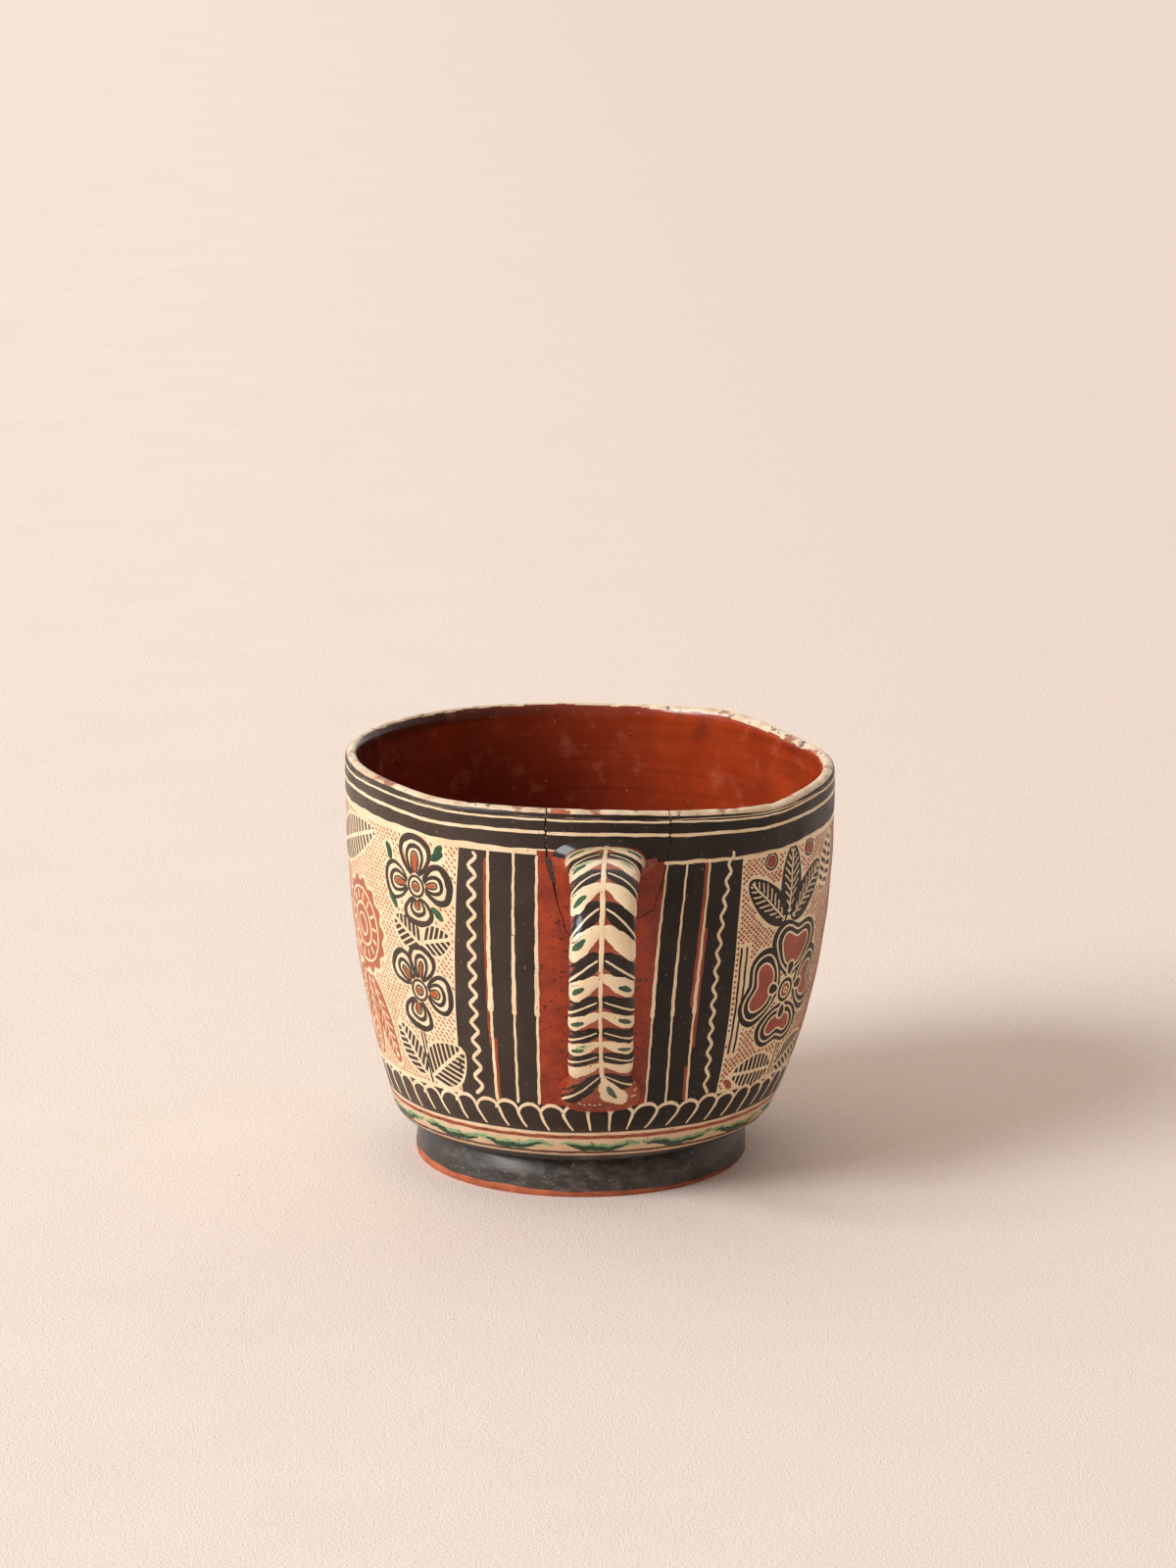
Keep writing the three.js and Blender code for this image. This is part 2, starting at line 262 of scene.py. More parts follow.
class Recipe:
    """Lays out the nodes of one finish. Sizes are in millimetres."""

    def __init__(self, name):
        self.material = bpy.data.materials.new(name)
        self.material.use_nodes = True
        self.tree = self.material.node_tree
        self.shader = self.tree.nodes["Principled BSDF"]
        self.where = self.node("TexCoord", {}).outputs["Object"]
        self.normal = None

    def node(self, kind, inputs, **settings):
        """One more node of this finish."""
        return add_node(self.tree, kind, inputs, **settings)

    def noise(self, size, detail=3.0, stretch=(1, 1, 1), shift=0.0):
        """Cloudy noise whose blotches are about this size."""
        mapping = self.node("Mapping", {"Vector": self.where, "Scale": stretch, "Location": (shift,) * 3})
        inputs = {"Vector": mapping.outputs[0], "Scale": 1 / (size * MM), "Detail": detail}
        return self.node("TexNoise", inputs).outputs[0]

    def span(self, value, low, high, to_low=0.0, to_high=1.0):
        """The part of a value between low and high, spread over a new span."""
        inputs = {"Value": value, "From Min": low, "From Max": high, "To Min": to_low, "To Max": to_high}
        return self.node("MapRange", inputs).outputs[0]

    def along(self, axis):
        """How far a place lies along X, Y or Z, in metres."""
        return self.node("SeparateXYZ", {0: self.where}).outputs[axis]

    def times(self, first, second):
        """Two values multiplied."""
        return self.node("Math", {0: first, 1: second}, operation="MULTIPLY").outputs[0]

    def mix(self, share, first, second):
        """The first colour where the share is 0 and the second where it is 1."""
        return self.node("Mix", {0: share, 6: first, 7: second}, data_type="RGBA").outputs[2]

    def bump(self, height, depth, strength=1.0):
        """Adds relief of this depth to what is there already."""
        inputs = {"Height": height, "Distance": depth * MM, "Strength": strength}
        if self.normal is not None:
            inputs["Normal"] = self.normal
        self.normal = self.node("Bump", inputs).outputs[0]

    def finish(self, colour, roughness, coat=0.0, coat_roughness=0.1):
        """Joins colour, roughness and relief to the shader."""
        self.tree.links.new(colour, self.shader.inputs["Base Color"])
        self.tree.links.new(roughness, self.shader.inputs["Roughness"])
        if self.normal is not None:
            self.tree.links.new(self.normal, self.shader.inputs["Normal"])
        self.shader.inputs["Coat Weight"].default_value = coat
        self.shader.inputs["Coat Roughness"].default_value = coat_roughness
        return self.material


print("a middle grey of 128 is", round(srgb(128, 128, 128)[0], 3), "in linear light")

# %% [markdown]
# ### Slips
# Slip is clay and pigment thinned to a cream and brushed on. Where it lies thin the clay under it tones it.
# A plain colour would look like plastic, so one function mixes a thick and a thin tone, grain and specks,
# and every slip on the cup is that recipe with its own colours.

# %% Slips
# Painted light: a drift of colour along X, used below for a painted sheen on the black and a painted shadow
# on the red.
PaintedLight = namedtuple("PaintedLight", "start end share colour")  # a drift of colour between two places along X
# Painted sheen: black slip paler towards the lit left, standing in for the light's reflection.
PAINTED_SHEEN_LEFT = PaintedLight(0.006, -0.05, 0.62, srgb(98, 80, 69))
# Painted shadow: red darker right of the handle, where the strap's shadow falls.
PAINTED_SHADOW_RIGHT = PaintedLight(0.001, 0.015, 0.66, srgb(90, 32, 16))
GRIME_FADE = (0.0175, 0.0125)  # heights in metres between which grime gathers above the foot
GLOSS_FADE = (0.044, 0.062)  # heights in metres between which the handle's glaze comes in


def slip(name, thick, thin, speck, specks=0.30, rough=(0.32, 0.50), coat=0.10, shine=0.40,
         dulled=False, painted_light=None):
    """Brushed slip under a thin glaze: patches, grain, specks, a dull bloom and perhaps painted light on
    one side.
    """
    recipe = Recipe(name)
    patches = recipe.span(recipe.noise(5.0, 4), 0.36, 0.68)
    grain = recipe.noise(0.45, 2, shift=3.0)
    colour = recipe.mix(patches, thick, thin)
    shade = recipe.span(grain, 0.3, 0.75, 0.0, 0.35)
    colour = recipe.mix(shade, colour, thin)
    dots = recipe.span(recipe.noise(0.8, 1, shift=9.0), 1.0 - specks, 1.0 - specks + 0.06)
    colour = recipe.mix(dots, colour, speck)
    # Painted light: towards one side the colour drifts to the painted tone.
    if painted_light:
        wear_and_painted_light = recipe.span(recipe.along("X"), painted_light.start, painted_light.end, 0.0, painted_light.share)
        wear_and_painted_light = recipe.times(wear_and_painted_light, recipe.span(recipe.noise(8.0, 5, shift=15.0), 0.3, 0.62, 0.55, 1.0))
        colour = recipe.mix(wear_and_painted_light, colour, painted_light.colour)
    grime = recipe.span(recipe.along("Z"), *GRIME_FADE, 0.0, 0.45)
    colour = recipe.mix(grime, colour, speck)
    dull = recipe.span(recipe.noise(9.0, 3, shift=5.0), 0.35, 0.65, *rough)
    recipe.bump(grain, 0.02)
    recipe.bump(recipe.noise(3.0, 2, shift=7.0), 0.05)
    recipe.shader.inputs["Specular IOR Level"].default_value = shine
    if dulled:
        recipe.bump(recipe.noise(1.6, 3, shift=17.0), 0.1)
        gloss = recipe.span(recipe.along("Z"), *GLOSS_FADE, 0.0, coat)
        recipe.tree.links.new(gloss, recipe.shader.inputs["Coat Weight"])
    return recipe.finish(colour, dull, coat, 0.12)


CREAM = (srgb(240, 219, 186), srgb(229, 201, 161), srgb(160, 110, 66))
BLACK = (srgb(33, 26, 22), srgb(45, 36, 31), srgb(118, 95, 79))
RED = (srgb(166, 69, 37), srgb(130, 47, 25), srgb(205, 130, 90))
PANEL_RED = (srgb(171, 63, 27), srgb(126, 41, 17), srgb(84, 32, 18))
HANDLE = {"rough": (0.3, 0.45), "dulled": True}  # the handle kept its glaze near the top
cream_slip = slip("cream_slip", *CREAM)
# The black slip carries the painted sheen on its left.
black_slip = slip("black_slip", *BLACK, 0.28, coat=0.0, shine=0.2, painted_light=PAINTED_SHEEN_LEFT)
red_slip = slip("red_slip", *RED, 0.27)
# The panel's red and the mounds' red carry the painted shadow of the handle.
panel_slip = slip("panel_slip", *PANEL_RED, 0.36, shine=0.32, painted_light=PAINTED_SHADOW_RIGHT)
mound_red = slip("mound_red", *PANEL_RED, 0.36, coat=0.35, shine=0.3, painted_light=PAINTED_SHADOW_RIGHT, **HANDLE)
handle_cream = slip("handle_cream", *CREAM, coat=0.8, **HANDLE)
handle_black = slip("handle_black", *BLACK, 0.28, coat=0.4, shine=0.1, **HANDLE)
handle_red = slip("handle_red", *RED, 0.27, coat=0.8, **HANDLE)
thin_red_slip = slip("thin_red_slip", srgb(180, 93, 45), srgb(160, 79, 39), srgb(112, 50, 34))
dark_red_slip = slip("dark_red_slip", srgb(120, 44, 28), srgb(98, 36, 26), srgb(60, 26, 20))
dark_green_slip = slip("dark_green_slip", srgb(30, 62, 38), srgb(52, 92, 58), srgb(16, 30, 20), 0.36)
pale_green_slip = slip("pale_green_slip", srgb(136, 166, 114), srgb(184, 194, 146), srgb(66, 112, 72), 0.38)
print("slips mixed:", cream_slip.name, black_slip.name, red_slip.name, thin_red_slip.name)

# %% [markdown]
# ### Clay, glaze and wear
# Years of use tell the surfaces apart: the broken edges are raw clay, the inside is glazed with painted
# shade on its left and deep down, the lip is rubbed and the foot is scuffed, with a painted sheen in its
# scuffs.
# One material with masks could hold them all, but four short recipes are easier to read and to change.


# %% Bare clay, the glazed inside, the worn lip and the scuffed foot
def bare_clay(name, pale, deep):
    """Red earthenware where slip and glaze never were or have gone."""
    recipe = Recipe(name)
    patches = recipe.span(recipe.noise(4.0, 4), 0.35, 0.7)
    colour = recipe.mix(patches, pale, deep)
    grit = recipe.span(recipe.noise(0.35, 2), 0.62, 0.7, 0.0, 0.6)
    colour = recipe.mix(grit, colour, srgb(206, 140, 100))
    recipe.bump(recipe.noise(0.5, 3), 0.06)
    return recipe.finish(colour, recipe.span(patches, 0, 1, 0.62, 0.8))


def inside_glaze():
    """Red-brown glaze with rings from the potter's fingers, smudges, dust, painted shade on the left and
    deep down, and a darker band under the lip on the left.
    """
    recipe = Recipe("inside_glaze")
    patches = recipe.span(recipe.noise(14.0, 4), 0.32, 0.7)
    colour = recipe.mix(patches, srgb(176, 66, 29), srgb(136, 46, 22))
    rings = recipe.span(recipe.noise(12.0, 3, (0.2, 0.2, 6.0)), 0.4, 0.7, 0.0, 0.35)
    colour = recipe.mix(rings, colour, srgb(100, 30, 18))
    smudge = recipe.span(recipe.noise(7.0, 5, shift=2.0), 0.62, 0.78, 0.0, 0.7)
    colour = recipe.mix(smudge, colour, srgb(84, 40, 30))
    # Painted shade: the left of the inside, which faces away from the light, made darker.
    painted_shade_left = recipe.span(recipe.along("X"), 0.024, -0.046, 0.0, 0.85)
    painted_shade_left = recipe.times(painted_shade_left, recipe.span(recipe.noise(16.0, 5, shift=11.0), 0.3, 0.6, 0.45, 1.0))
    colour = recipe.mix(painted_shade_left, colour, srgb(66, 33, 29))
    # A darker band just under the lip, on the left side only.
    edge = recipe.span(recipe.along("Z"), (LIP_TOP - 3.4) * MM, (LIP_TOP - 1.8) * MM, 0.0, 0.8)
    edge = recipe.times(edge, recipe.span(recipe.along("X"), 0.012, -0.03))
    colour = recipe.mix(edge, colour, srgb(56, 24, 19))
    # Painted shade: darker deep in the cup, less so on the lit right side.
    deep = recipe.span(recipe.along("Z"), 0.082, 0.054, 0.0, 0.9)
    deep = recipe.times(deep, recipe.span(recipe.along("X"), 0.036, 0.0, 0.2, 1.0))
    colour = recipe.mix(deep, colour, srgb(96, 30, 17))
    scuffs = recipe.span(recipe.noise(4.0, 6, shift=13.0), 0.56, 0.74, 0.0, 0.3)
    colour = recipe.mix(scuffs, colour, srgb(190, 112, 84))
    dust = recipe.span(recipe.noise(0.9, 1, shift=4.0), 0.76, 0.8, 0.0, 0.6)
    colour = recipe.mix(dust, colour, srgb(206, 150, 110))
    dull = recipe.span(recipe.noise(6.0, 4, shift=6.0), 0.4, 0.7, 0.14, 0.34)
    recipe.bump(recipe.noise(10.0, 2, (0.2, 0.2, 3.0)), 0.25)
    recipe.bump(recipe.noise(1.6, 2), 0.03)
    recipe.shader.inputs["Specular IOR Level"].default_value = 0.22
    return recipe.finish(colour, dull, 0.3, 0.05)


def worn_lip():
    """Cream slip on the lip, rubbed through to the clay and dark with use."""
    recipe = Recipe("worn_lip")
    patches = recipe.span(recipe.noise(3.0, 4), 0.35, 0.7)
    colour = recipe.mix(patches, srgb(232, 212, 180), srgb(200, 168, 132))
    rubbed = recipe.span(recipe.noise(5.0, 5, shift=1.0), 0.57, 0.63, 0.0, 0.9)
    colour = recipe.mix(rubbed, colour, srgb(150, 76, 50))
    dirt = recipe.span(recipe.noise(2.6, 5, shift=8.0), 0.61, 0.67, 0.0, 0.9)
    colour = recipe.mix(dirt, colour, srgb(62, 44, 38))
    recipe.bump(recipe.noise(1.2, 3), 0.08)
    return recipe.finish(colour, recipe.span(patches, 0, 1, 0.32, 0.5), 0.3, 0.15)


def scuffed_black():
    """Black slip on the foot, scuffed grey by every table it stood on, the grey made strongest just left of
    the middle as a painted sheen.
    """
    recipe = Recipe("scuffed_black")
    patches = recipe.span(recipe.noise(5.0, 4), 0.36, 0.7)
    colour = recipe.mix(patches, srgb(36, 31, 28), srgb(52, 45, 41))
    # Painted sheen: the grey scuffs are real wear, but they are made strongest a little left of the middle
    # and weaker to the right, where a reflection of the light would lie.
    facing = recipe.times(recipe.span(recipe.along("X"), 0.03, -0.002, 0.35, 1.0),
                          recipe.span(recipe.along("X"), -0.036, -0.012, 0.4, 1.0))
    scuffs_and_sheen = recipe.span(recipe.noise(3.4, 8, (1, 1, 1.8), 2.0), 0.47, 0.66, 0.0, 0.55)
    scuffs_and_sheen = recipe.times(scuffs_and_sheen, facing)
    colour = recipe.mix(scuffs_and_sheen, colour, srgb(114, 100, 90))
    scratches = recipe.span(recipe.noise(0.9, 3, (1, 1, 2), 5.0), 0.64, 0.7, 0.0, 0.6)
    colour = recipe.mix(scratches, colour, srgb(150, 134, 120))
    recipe.bump(recipe.noise(4.0, 2, (0.5, 0.5, 3)), 0.12)
    recipe.bump(recipe.noise(1.4, 4, shift=4.0), 0.07)
    return recipe.finish(colour, recipe.span(scuffs_and_sheen, 0, 0.5, 0.46, 0.62), 0.25, 0.22)


clay = bare_clay("bare_clay", srgb(184, 96, 58), srgb(148, 70, 40))
# Near-black clay for the crack's walls, the flake beside it and the glue in the joint.
dark_crack_clay = bare_clay("dark_crack_clay", srgb(74, 44, 34), srgb(42, 26, 21))
glaze = inside_glaze()
lip_finish = worn_lip()
foot_black = scuffed_black()
print("finishes:", clay.name, glaze.name, lip_finish.name, foot_black.name)

# %% [markdown]
# ## Floor and light
# The cup stands on pale cloth. One plane runs far enough back to fill the view, so no backdrop is needed.
# A soft low sun from the left gives the long shadow on the right without fading across the floor,
# and a pale world, brighter on the window's side, fills the shadows as a light room does.


# %% Floor and light
def cloth_finish():
    """Pale cotton: two directions of threads, slubs, a few husks and painted shade away from the window."""
    recipe = Recipe("pale_cloth")
    patches = recipe.span(recipe.noise(30.0, 4), 0.3, 0.7)
    colour = recipe.mix(patches, srgb(241, 230, 221), srgb(238, 226, 216))
    # Painted shade: the cloth darkens towards the right, away from the window, as if the light fell off
    # across the floor.
    painted_falloff_shade = recipe.span(recipe.along("X"), -0.12, 0.16)
    colour = recipe.mix(painted_falloff_shade, colour, srgb(231, 217, 206))
    threads = recipe.noise(1.0, 2, (1, 2.4, 1))
    crossing = recipe.noise(1.0, 2, (2.4, 1, 1), 1.0)
    for yarn in (threads, crossing):
        colour = recipe.mix(recipe.span(yarn, 0.5, 0.75, 0.0, 0.28), colour, srgb(206, 184, 168))
    slubs = recipe.span(recipe.noise(1.6, 2), 0.72, 0.8, 0.0, 0.3)
    colour = recipe.mix(slubs, colour, srgb(196, 168, 148))
    husks = recipe.span(recipe.noise(1.1, 1, shift=21.0), 0.79, 0.82, 0.0, 0.75)
    colour = recipe.mix(husks, colour, srgb(150, 112, 84))
    recipe.bump(threads, 0.14)
    recipe.bump(crossing, 0.14)
    return recipe.finish(colour, recipe.span(threads, 0.3, 0.7, 0.8, 0.95))


FLOOR_SIZE = 12.0
floor_mesh = bpy.data.meshes.new("floor")
half_floor = FLOOR_SIZE / 2
corners = [(x * half_floor, y * half_floor, 0) for x, y in ((-1, -1), (1, -1), (1, 1), (-1, 1))]
floor_mesh.from_pydata(corners, [], [(0, 1, 2, 3)])
floor = into_scene("floor", floor_mesh)
floor_mesh.materials.append(cloth_finish())

KEY_FROM = Vector((-0.78, -0.38, 0.54))
KEY_STRENGTH = 2.75
KEY_SOFTNESS = math.radians(28)
KEY_TINT = (0.98, 1.0, 1.01)
WINDOW_SIDE = (1.03, 0.95, 0.885, 1.0)
FAR_SIDE = (0.27, 0.20, 0.155, 1.0)
AWAY_FROM_WINDOW = (0.55, -0.835, 0.0)
key_data = bpy.data.lights.new("window_light", "SUN")
key_data.energy = KEY_STRENGTH
key_data.angle = KEY_SOFTNESS
key_data.color = KEY_TINT
key = into_scene("window_light", key_data)
key.rotation_mode = "QUATERNION"
key.rotation_quaternion = (-KEY_FROM).to_track_quat("-Z", "Y")

world = bpy.data.worlds.new("light_room")
bpy.context.scene.world = world
world.use_nodes = True
sky = world.node_tree
looking = add_node(sky, "TexCoord", {}).outputs["Generated"]
turned_away = add_node(sky, "VectorMath", {0: looking, 1: AWAY_FROM_WINDOW}, operation="DOT_PRODUCT")
sky_share = add_node(sky, "MapRange", {"Value": turned_away.outputs["Value"], "From Min": -1.0})
sky_tones = {0: sky_share.outputs[0], 6: WINDOW_SIDE, 7: FAR_SIDE}
sky_colour = add_node(sky, "Mix", sky_tones, data_type="RGBA").outputs[2]
sky.links.new(sky_colour, sky.nodes["Background"].inputs["Color"])
bpy.context.scene.view_settings.view_transform = "Standard"
print("floor", FLOOR_SIZE, "m wide, light from", [round(v, 2) for v in KEY_FROM.normalized()])

# %% [markdown]
# ## Making meshes
# A piece is made from arrays of points and faces. Each mesh is closed and its faces point out,
# so that it can be printed or measured, and only real edges stay sharp: smooth shading does the rest.
# Modelling by hand would do for one cup, but arrays let the formula of the wall place every point.

# %% From points and faces to a piece
SHARP_EDGE = math.radians(40)


def make_piece(name, points, faces, materials, face_materials=None):
    """One closed mesh in the frame. Points are in metres."""
    mesh = bpy.data.meshes.new(name)
    mesh.from_pydata(np.asarray(points).tolist(), [], faces)
    for material in materials:
        mesh.materials.append(material)
    if face_materials is not None:
        mesh.polygons.foreach_set("material_index", face_materials)
    body = bmesh.new()
    body.from_mesh(mesh)
    bmesh.ops.recalc_face_normals(body, faces=body.faces)
    body.to_mesh(mesh)
    body.free()
    mesh.polygons.foreach_set("use_smooth", [True] * len(mesh.polygons))
    mesh.set_sharp_from_angle(angle=SHARP_EDGE)
    return into_scene(name, mesh)


def grid_faces(rows, columns, wrap):
    """Quads of a grid of points, row after row. A wrapped grid joins its last column to its first."""
    faces = []
    for row in range(rows - 1):
        for column in range(columns if wrap else columns - 1):
            after = (column + 1) % columns
            faces.append((row * columns + column, row * columns + after,
                          (row + 1) * columns + after, (row + 1) * columns + column))
    return faces


def seat(piece, slot_name, *nodes):
    """Every piece of this cup belongs to its one rigid body."""
    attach(piece, "root")
    if nodes:
        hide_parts(*nodes)
    return piece


print("edges sharper than", round(math.degrees(SHARP_EDGE)), "degrees stay sharp")

# %% [markdown]
# ## Bowl and broken rim
# A piece of the rim broke out beside the handle and was glued back, and the joint still shows as
# a fine crack. It could be painted on as a dark line, but a real gap catches the light from every side.
# So a jagged outline cuts the turned bowl: what is outside it is the bowl, what is inside is the sherd.

# %% The crack's line
hand = random.Random(20)
CRACK_POINTS = [  # angle, height and width of the gap
    (-13.4, 86.0, 0.30), (-13.6, 77.4, 0.30), (-13.1, 75.2, 0.50), (-12.6, 73.6, 1.30),
    (-11.9, 71.2, 1.10), (-11.5, 69.0, 0.36), (-10.9, 66.0, 0.24), (-9.9, 63.0, 0.18),
    (-8.8, 59.4, 0.14), (-3.0, 58.8, 0.14), (3.0, 60.6, 0.14), (8.0, 63.0, 0.14),
    (11.2, 64.4, 0.14), (13.5, 71.0, 0.16), (15.0, 78.0, 0.22), (15.2, 86.0, 0.22),
]
CRACK_STEP = 0.9
CRACK_JAG = 0.13
CRACK_DEGREE = wall_degree(70.0)  # millimetres in one degree at the crack's middle height


def run_along(points):
    """Distance from the first of a row of flat points to each of them."""
    return np.concatenate([[0], np.cumsum(np.hypot(*np.diff(points, axis=0).T))])


def crack_sides():
    """The two lips of the crack, from the left rim down and up to the right rim, as angles and heights."""
    points = np.array(CRACK_POINTS)
    flat = np.stack([points[:, 0] * CRACK_DEGREE, points[:, 1]], 1)
    run = run_along(flat)
    stations = np.arange(0, run[-1], CRACK_STEP)
    line = np.stack([np.interp(stations, run, flat[:, k]) for k in (0, 1)], 1)
    line += np.array([[hand.uniform(-1, 1), hand.uniform(-1, 1)] for _ in stations]) * CRACK_JAG
    width = np.interp(stations, run, points[:, 2])
    along = np.gradient(line, axis=0)
    along /= np.linalg.norm(along, axis=1)[:, None]
    aside = np.stack([-along[:, 1], along[:, 0]], 1) * width[:, None] / 2
    return [np.stack([side[:, 0] / CRACK_DEGREE, side[:, 1]], 1) for side in (line + aside, line - aside)]


sherd_side, bowl_side = crack_sides()
LOWEST = int(np.argmin(sherd_side[:, 1]))
crack_strip = np.concatenate([sherd_side, bowl_side[::-1]])
print("crack of", len(sherd_side), "steps, lowest at", np.round(sherd_side[LOWEST], 1))

# %% [markdown]
# ### The turned bowl
# Seen in section the bowl is one line: under the cup, up the wall, over the rounded lip and down inside.
# A Screw modifier could turn that line. Turned in code, each stretch knows its finish, so slip, worn lip
# and glaze meet on one mesh, and a small cutting block takes the sherd out along the crack.

# %% The bowl's profile and finishes
WALL_STEPS = 64
LIP_ROWS = 28
BARE, COATED, LIP, GLAZED, DARK_CRACK = range(5)
INNER_ROLL = 1.6  # how far the lip rolls down into the mouth
COAT_EDGE = 0.45  # radians over the lip's roll at which the wall's slip ends
GLAZE_EDGE = 2.08  # and at which the glaze of the inside begins
CREAM_REACH = Bump(118, 0.5, 36)  # where the lip's cream reaches further in
LIP_CHIP = (-13.3, -8.6)  # where the slip has come off the lip beside the crack
BOWL_FINISHES = [clay, cream_slip, lip_finish, glaze, dark_crack_clay]
Row = namedtuple("Row", "radius z finish over", defaults=[0.0])


def bowl_profile():
    """Radius, height and finish of each row, from under the cup over the lip to the middle of the floor."""
    rows = [Row(radius, FOOT_HEIGHT, BARE) for radius in (0.0, 14.0, 27.0, 31.0)]
    rows += [Row(radius, z, COATED) for radius, z in underside[::6]]
    heights = np.linspace(TURN_HEIGHT, LIP_SHOULDER, WALL_STEPS)
    rows += [Row(float(outer_radius(z)), z, COATED) for z in heights]
    middle = RIM_RADIUS - LIP_THICKNESS / 2
    inner_half = middle - float(inner_radius(LIP_SHOULDER - INNER_ROLL))
    for over in np.linspace(0, math.pi, LIP_ROWS + 2)[1:-1]:
        outside = over < math.pi / 2
        half = LIP_THICKNESS / 2 if outside else inner_half
        deep = LIP_CROWN if outside else LIP_CROWN + INNER_ROLL
        z = LIP_SHOULDER + LIP_CROWN - deep * (1 - math.sin(over))
        rows.append(Row(middle + half * math.cos(over), z, LIP, over))
    corner_top = INNER_FLOOR + INNER_CORNER
    heights = np.linspace(LIP_SHOULDER - INNER_ROLL, corner_top, WALL_STEPS)
    rows += [Row(float(inner_radius(z)), z, GLAZED) for z in heights]
    wall = np.array([float(inner_radius(corner_top)), corner_top])
    slope = float(inner_radius(corner_top + 0.5) - inner_radius(corner_top - 0.5))
    bend = np.array([wall[0] - slope * INNER_CORNER, INNER_FLOOR])
    flat = bend - np.array([INNER_CORNER, 0])
    corner = curve_through(wall, bend, flat, np.linspace(0, 1, 13)[1:])
    rows += [Row(radius, z, GLAZED) for radius, z in corner]
    rows += [Row(radius, INNER_FLOOR, GLAZED) for radius in (18.0, 9.0, 0.0)]
    return rows


def row_finishes(row, angles):
    """Finish of the faces below a row. On the lip the slip wanders between the wall and the inner glaze."""
    if row.finish != LIP:
        return [row.finish] * len(angles)
    turn = np.radians(angles)
    inner_edge = GLAZE_EDGE + 0.08 * np.sin(5 * turn + 1)
    inner_edge = inner_edge + 0.05 * np.sin(17 * turn) + 0.05 * np.sin(41 * turn)
    away = (angles - CREAM_REACH.angle) / CREAM_REACH.spread
    inner_edge = inner_edge + CREAM_REACH.rise * np.exp(-away ** 2)
    found = np.where(row.over > inner_edge, GLAZED, LIP if row.over > COAT_EDGE else COATED)
    chip_end = LIP_CHIP[1] - 1.4 * abs(row.over - 0.9)
    chipped = (signed(angles) > LIP_CHIP[0]) & (signed(angles) < chip_end) & (row.over < 1.5)
    return np.where(chipped, BARE, found).tolist()


print("the bowl's profile has", len(bowl_profile()), "rows")

# %% Turn the bowl and cut the sherd from it
ROUND_STEPS = 320
WELD = 1e-6  # points closer than this, in metres, are one point
DENTS = 26
LIP_DENTS = [
    Bump(hand.uniform(0, 360), hand.uniform(0.05, 0.22), hand.uniform(0.7, 2.2)) for _ in range(DENTS)
]
CUTTER_FRONT = 0.075  # metres before the cup's axis between which the cutting block reaches
CUTTER_REAR = 0.020
CUTTER_RISE = 6  # stretches the block's top well past the lip


def weld(piece):
    """Joins the points that meet on one spot, as at the axis of a turned piece."""
    body = bmesh.new()
    body.from_mesh(piece.data)
    bmesh.ops.remove_doubles(body, verts=body.verts, dist=WELD)
    body.to_mesh(piece.data)
    body.free()
    return piece


def turn_bowl(name):
    """The whole bowl, its lip lowered a little where wear has dented it."""
    profile = bowl_profile()
    angles = np.arange(ROUND_STEPS) * 360 / ROUND_STEPS
    points = []
    for row in profile:
        share = np.clip((row.z - LIP_SHOULDER) / LIP_CROWN, 0, 1) ** 2
        wear_and_painted_light = row.z - sum_of_bumps(LIP_DENTS, angles) * share
        points.append(settled(angles, np.full(ROUND_STEPS, row.radius), wear_and_painted_light))
    faces = grid_faces(len(profile), ROUND_STEPS, True)
    finishes = sum((row_finishes(row, angles) for row in profile[1:]), [])
    return weld(make_piece(name, np.concatenate(points), faces, BOWL_FINISHES, finishes))


def crack_cutter(side):
    """A block with the crack's outline, reaching through the front wall only."""
    places = on_wall(side[:, 0], np.minimum(side[:, 1], LIP_TOP - 0.1))
    over_lip = np.maximum(side[:, 1] - LIP_TOP, 0) * MM * CUTTER_RISE
    outline = places[:, [0, 2]] + np.stack([0 * over_lip, over_lip], 1)
    count = len(outline)
    front = [(x, AXIS[1] - CUTTER_FRONT, z) for x, z in outline]
    rear = [(x, AXIS[1] - CUTTER_REAR, z) for x, z in outline]
    faces = [tuple(range(count)), tuple(range(2 * count - 1, count - 1, -1))]
    faces += [(i, count + i, count + (i + 1) % count, (i + 1) % count) for i in range(count)]
    return make_piece("cutter", front + rear, faces, BOWL_FINISHES, [DARK_CRACK] * len(faces))


def cut(piece, side, operation):
    """Takes the block away from a piece, or keeps only what both share."""
    cutter = crack_cutter(side)
    modifier = piece.modifiers.new("crack", "BOOLEAN")
    modifier.object = cutter
    modifier.operation = operation
    modifier.solver = "EXACT"
    graph = bpy.context.evaluated_depsgraph_get()
    result = bpy.data.meshes.new_from_object(piece.evaluated_get(graph))
    piece.modifiers.clear()
    piece.data = result
    result.set_sharp_from_angle(angle=SHARP_EDGE)
    bpy.data.objects.remove(cutter)
    return piece


bowl = seat(cut(turn_bowl("bowl_body"), bowl_side, "DIFFERENCE"), "clay", "bowl")
sherd = seat(cut(turn_bowl("rim_sherd_body"), sherd_side, "INTERSECT"), "clay", "rim_sherd")
print("bowl of", len(bowl.data.polygons), "faces, sherd of", len(sherd.data.polygons))

# %% [markdown]
# ## Foot ring
# The foot is a ring of clay under the bowl, dipped in black slip that has worn off its lower edge.
# A change of colour could mark that edge. Here the ring is turned in bare clay and the slip is a thin
# coat laid on later, so its ragged edge is a real edge.

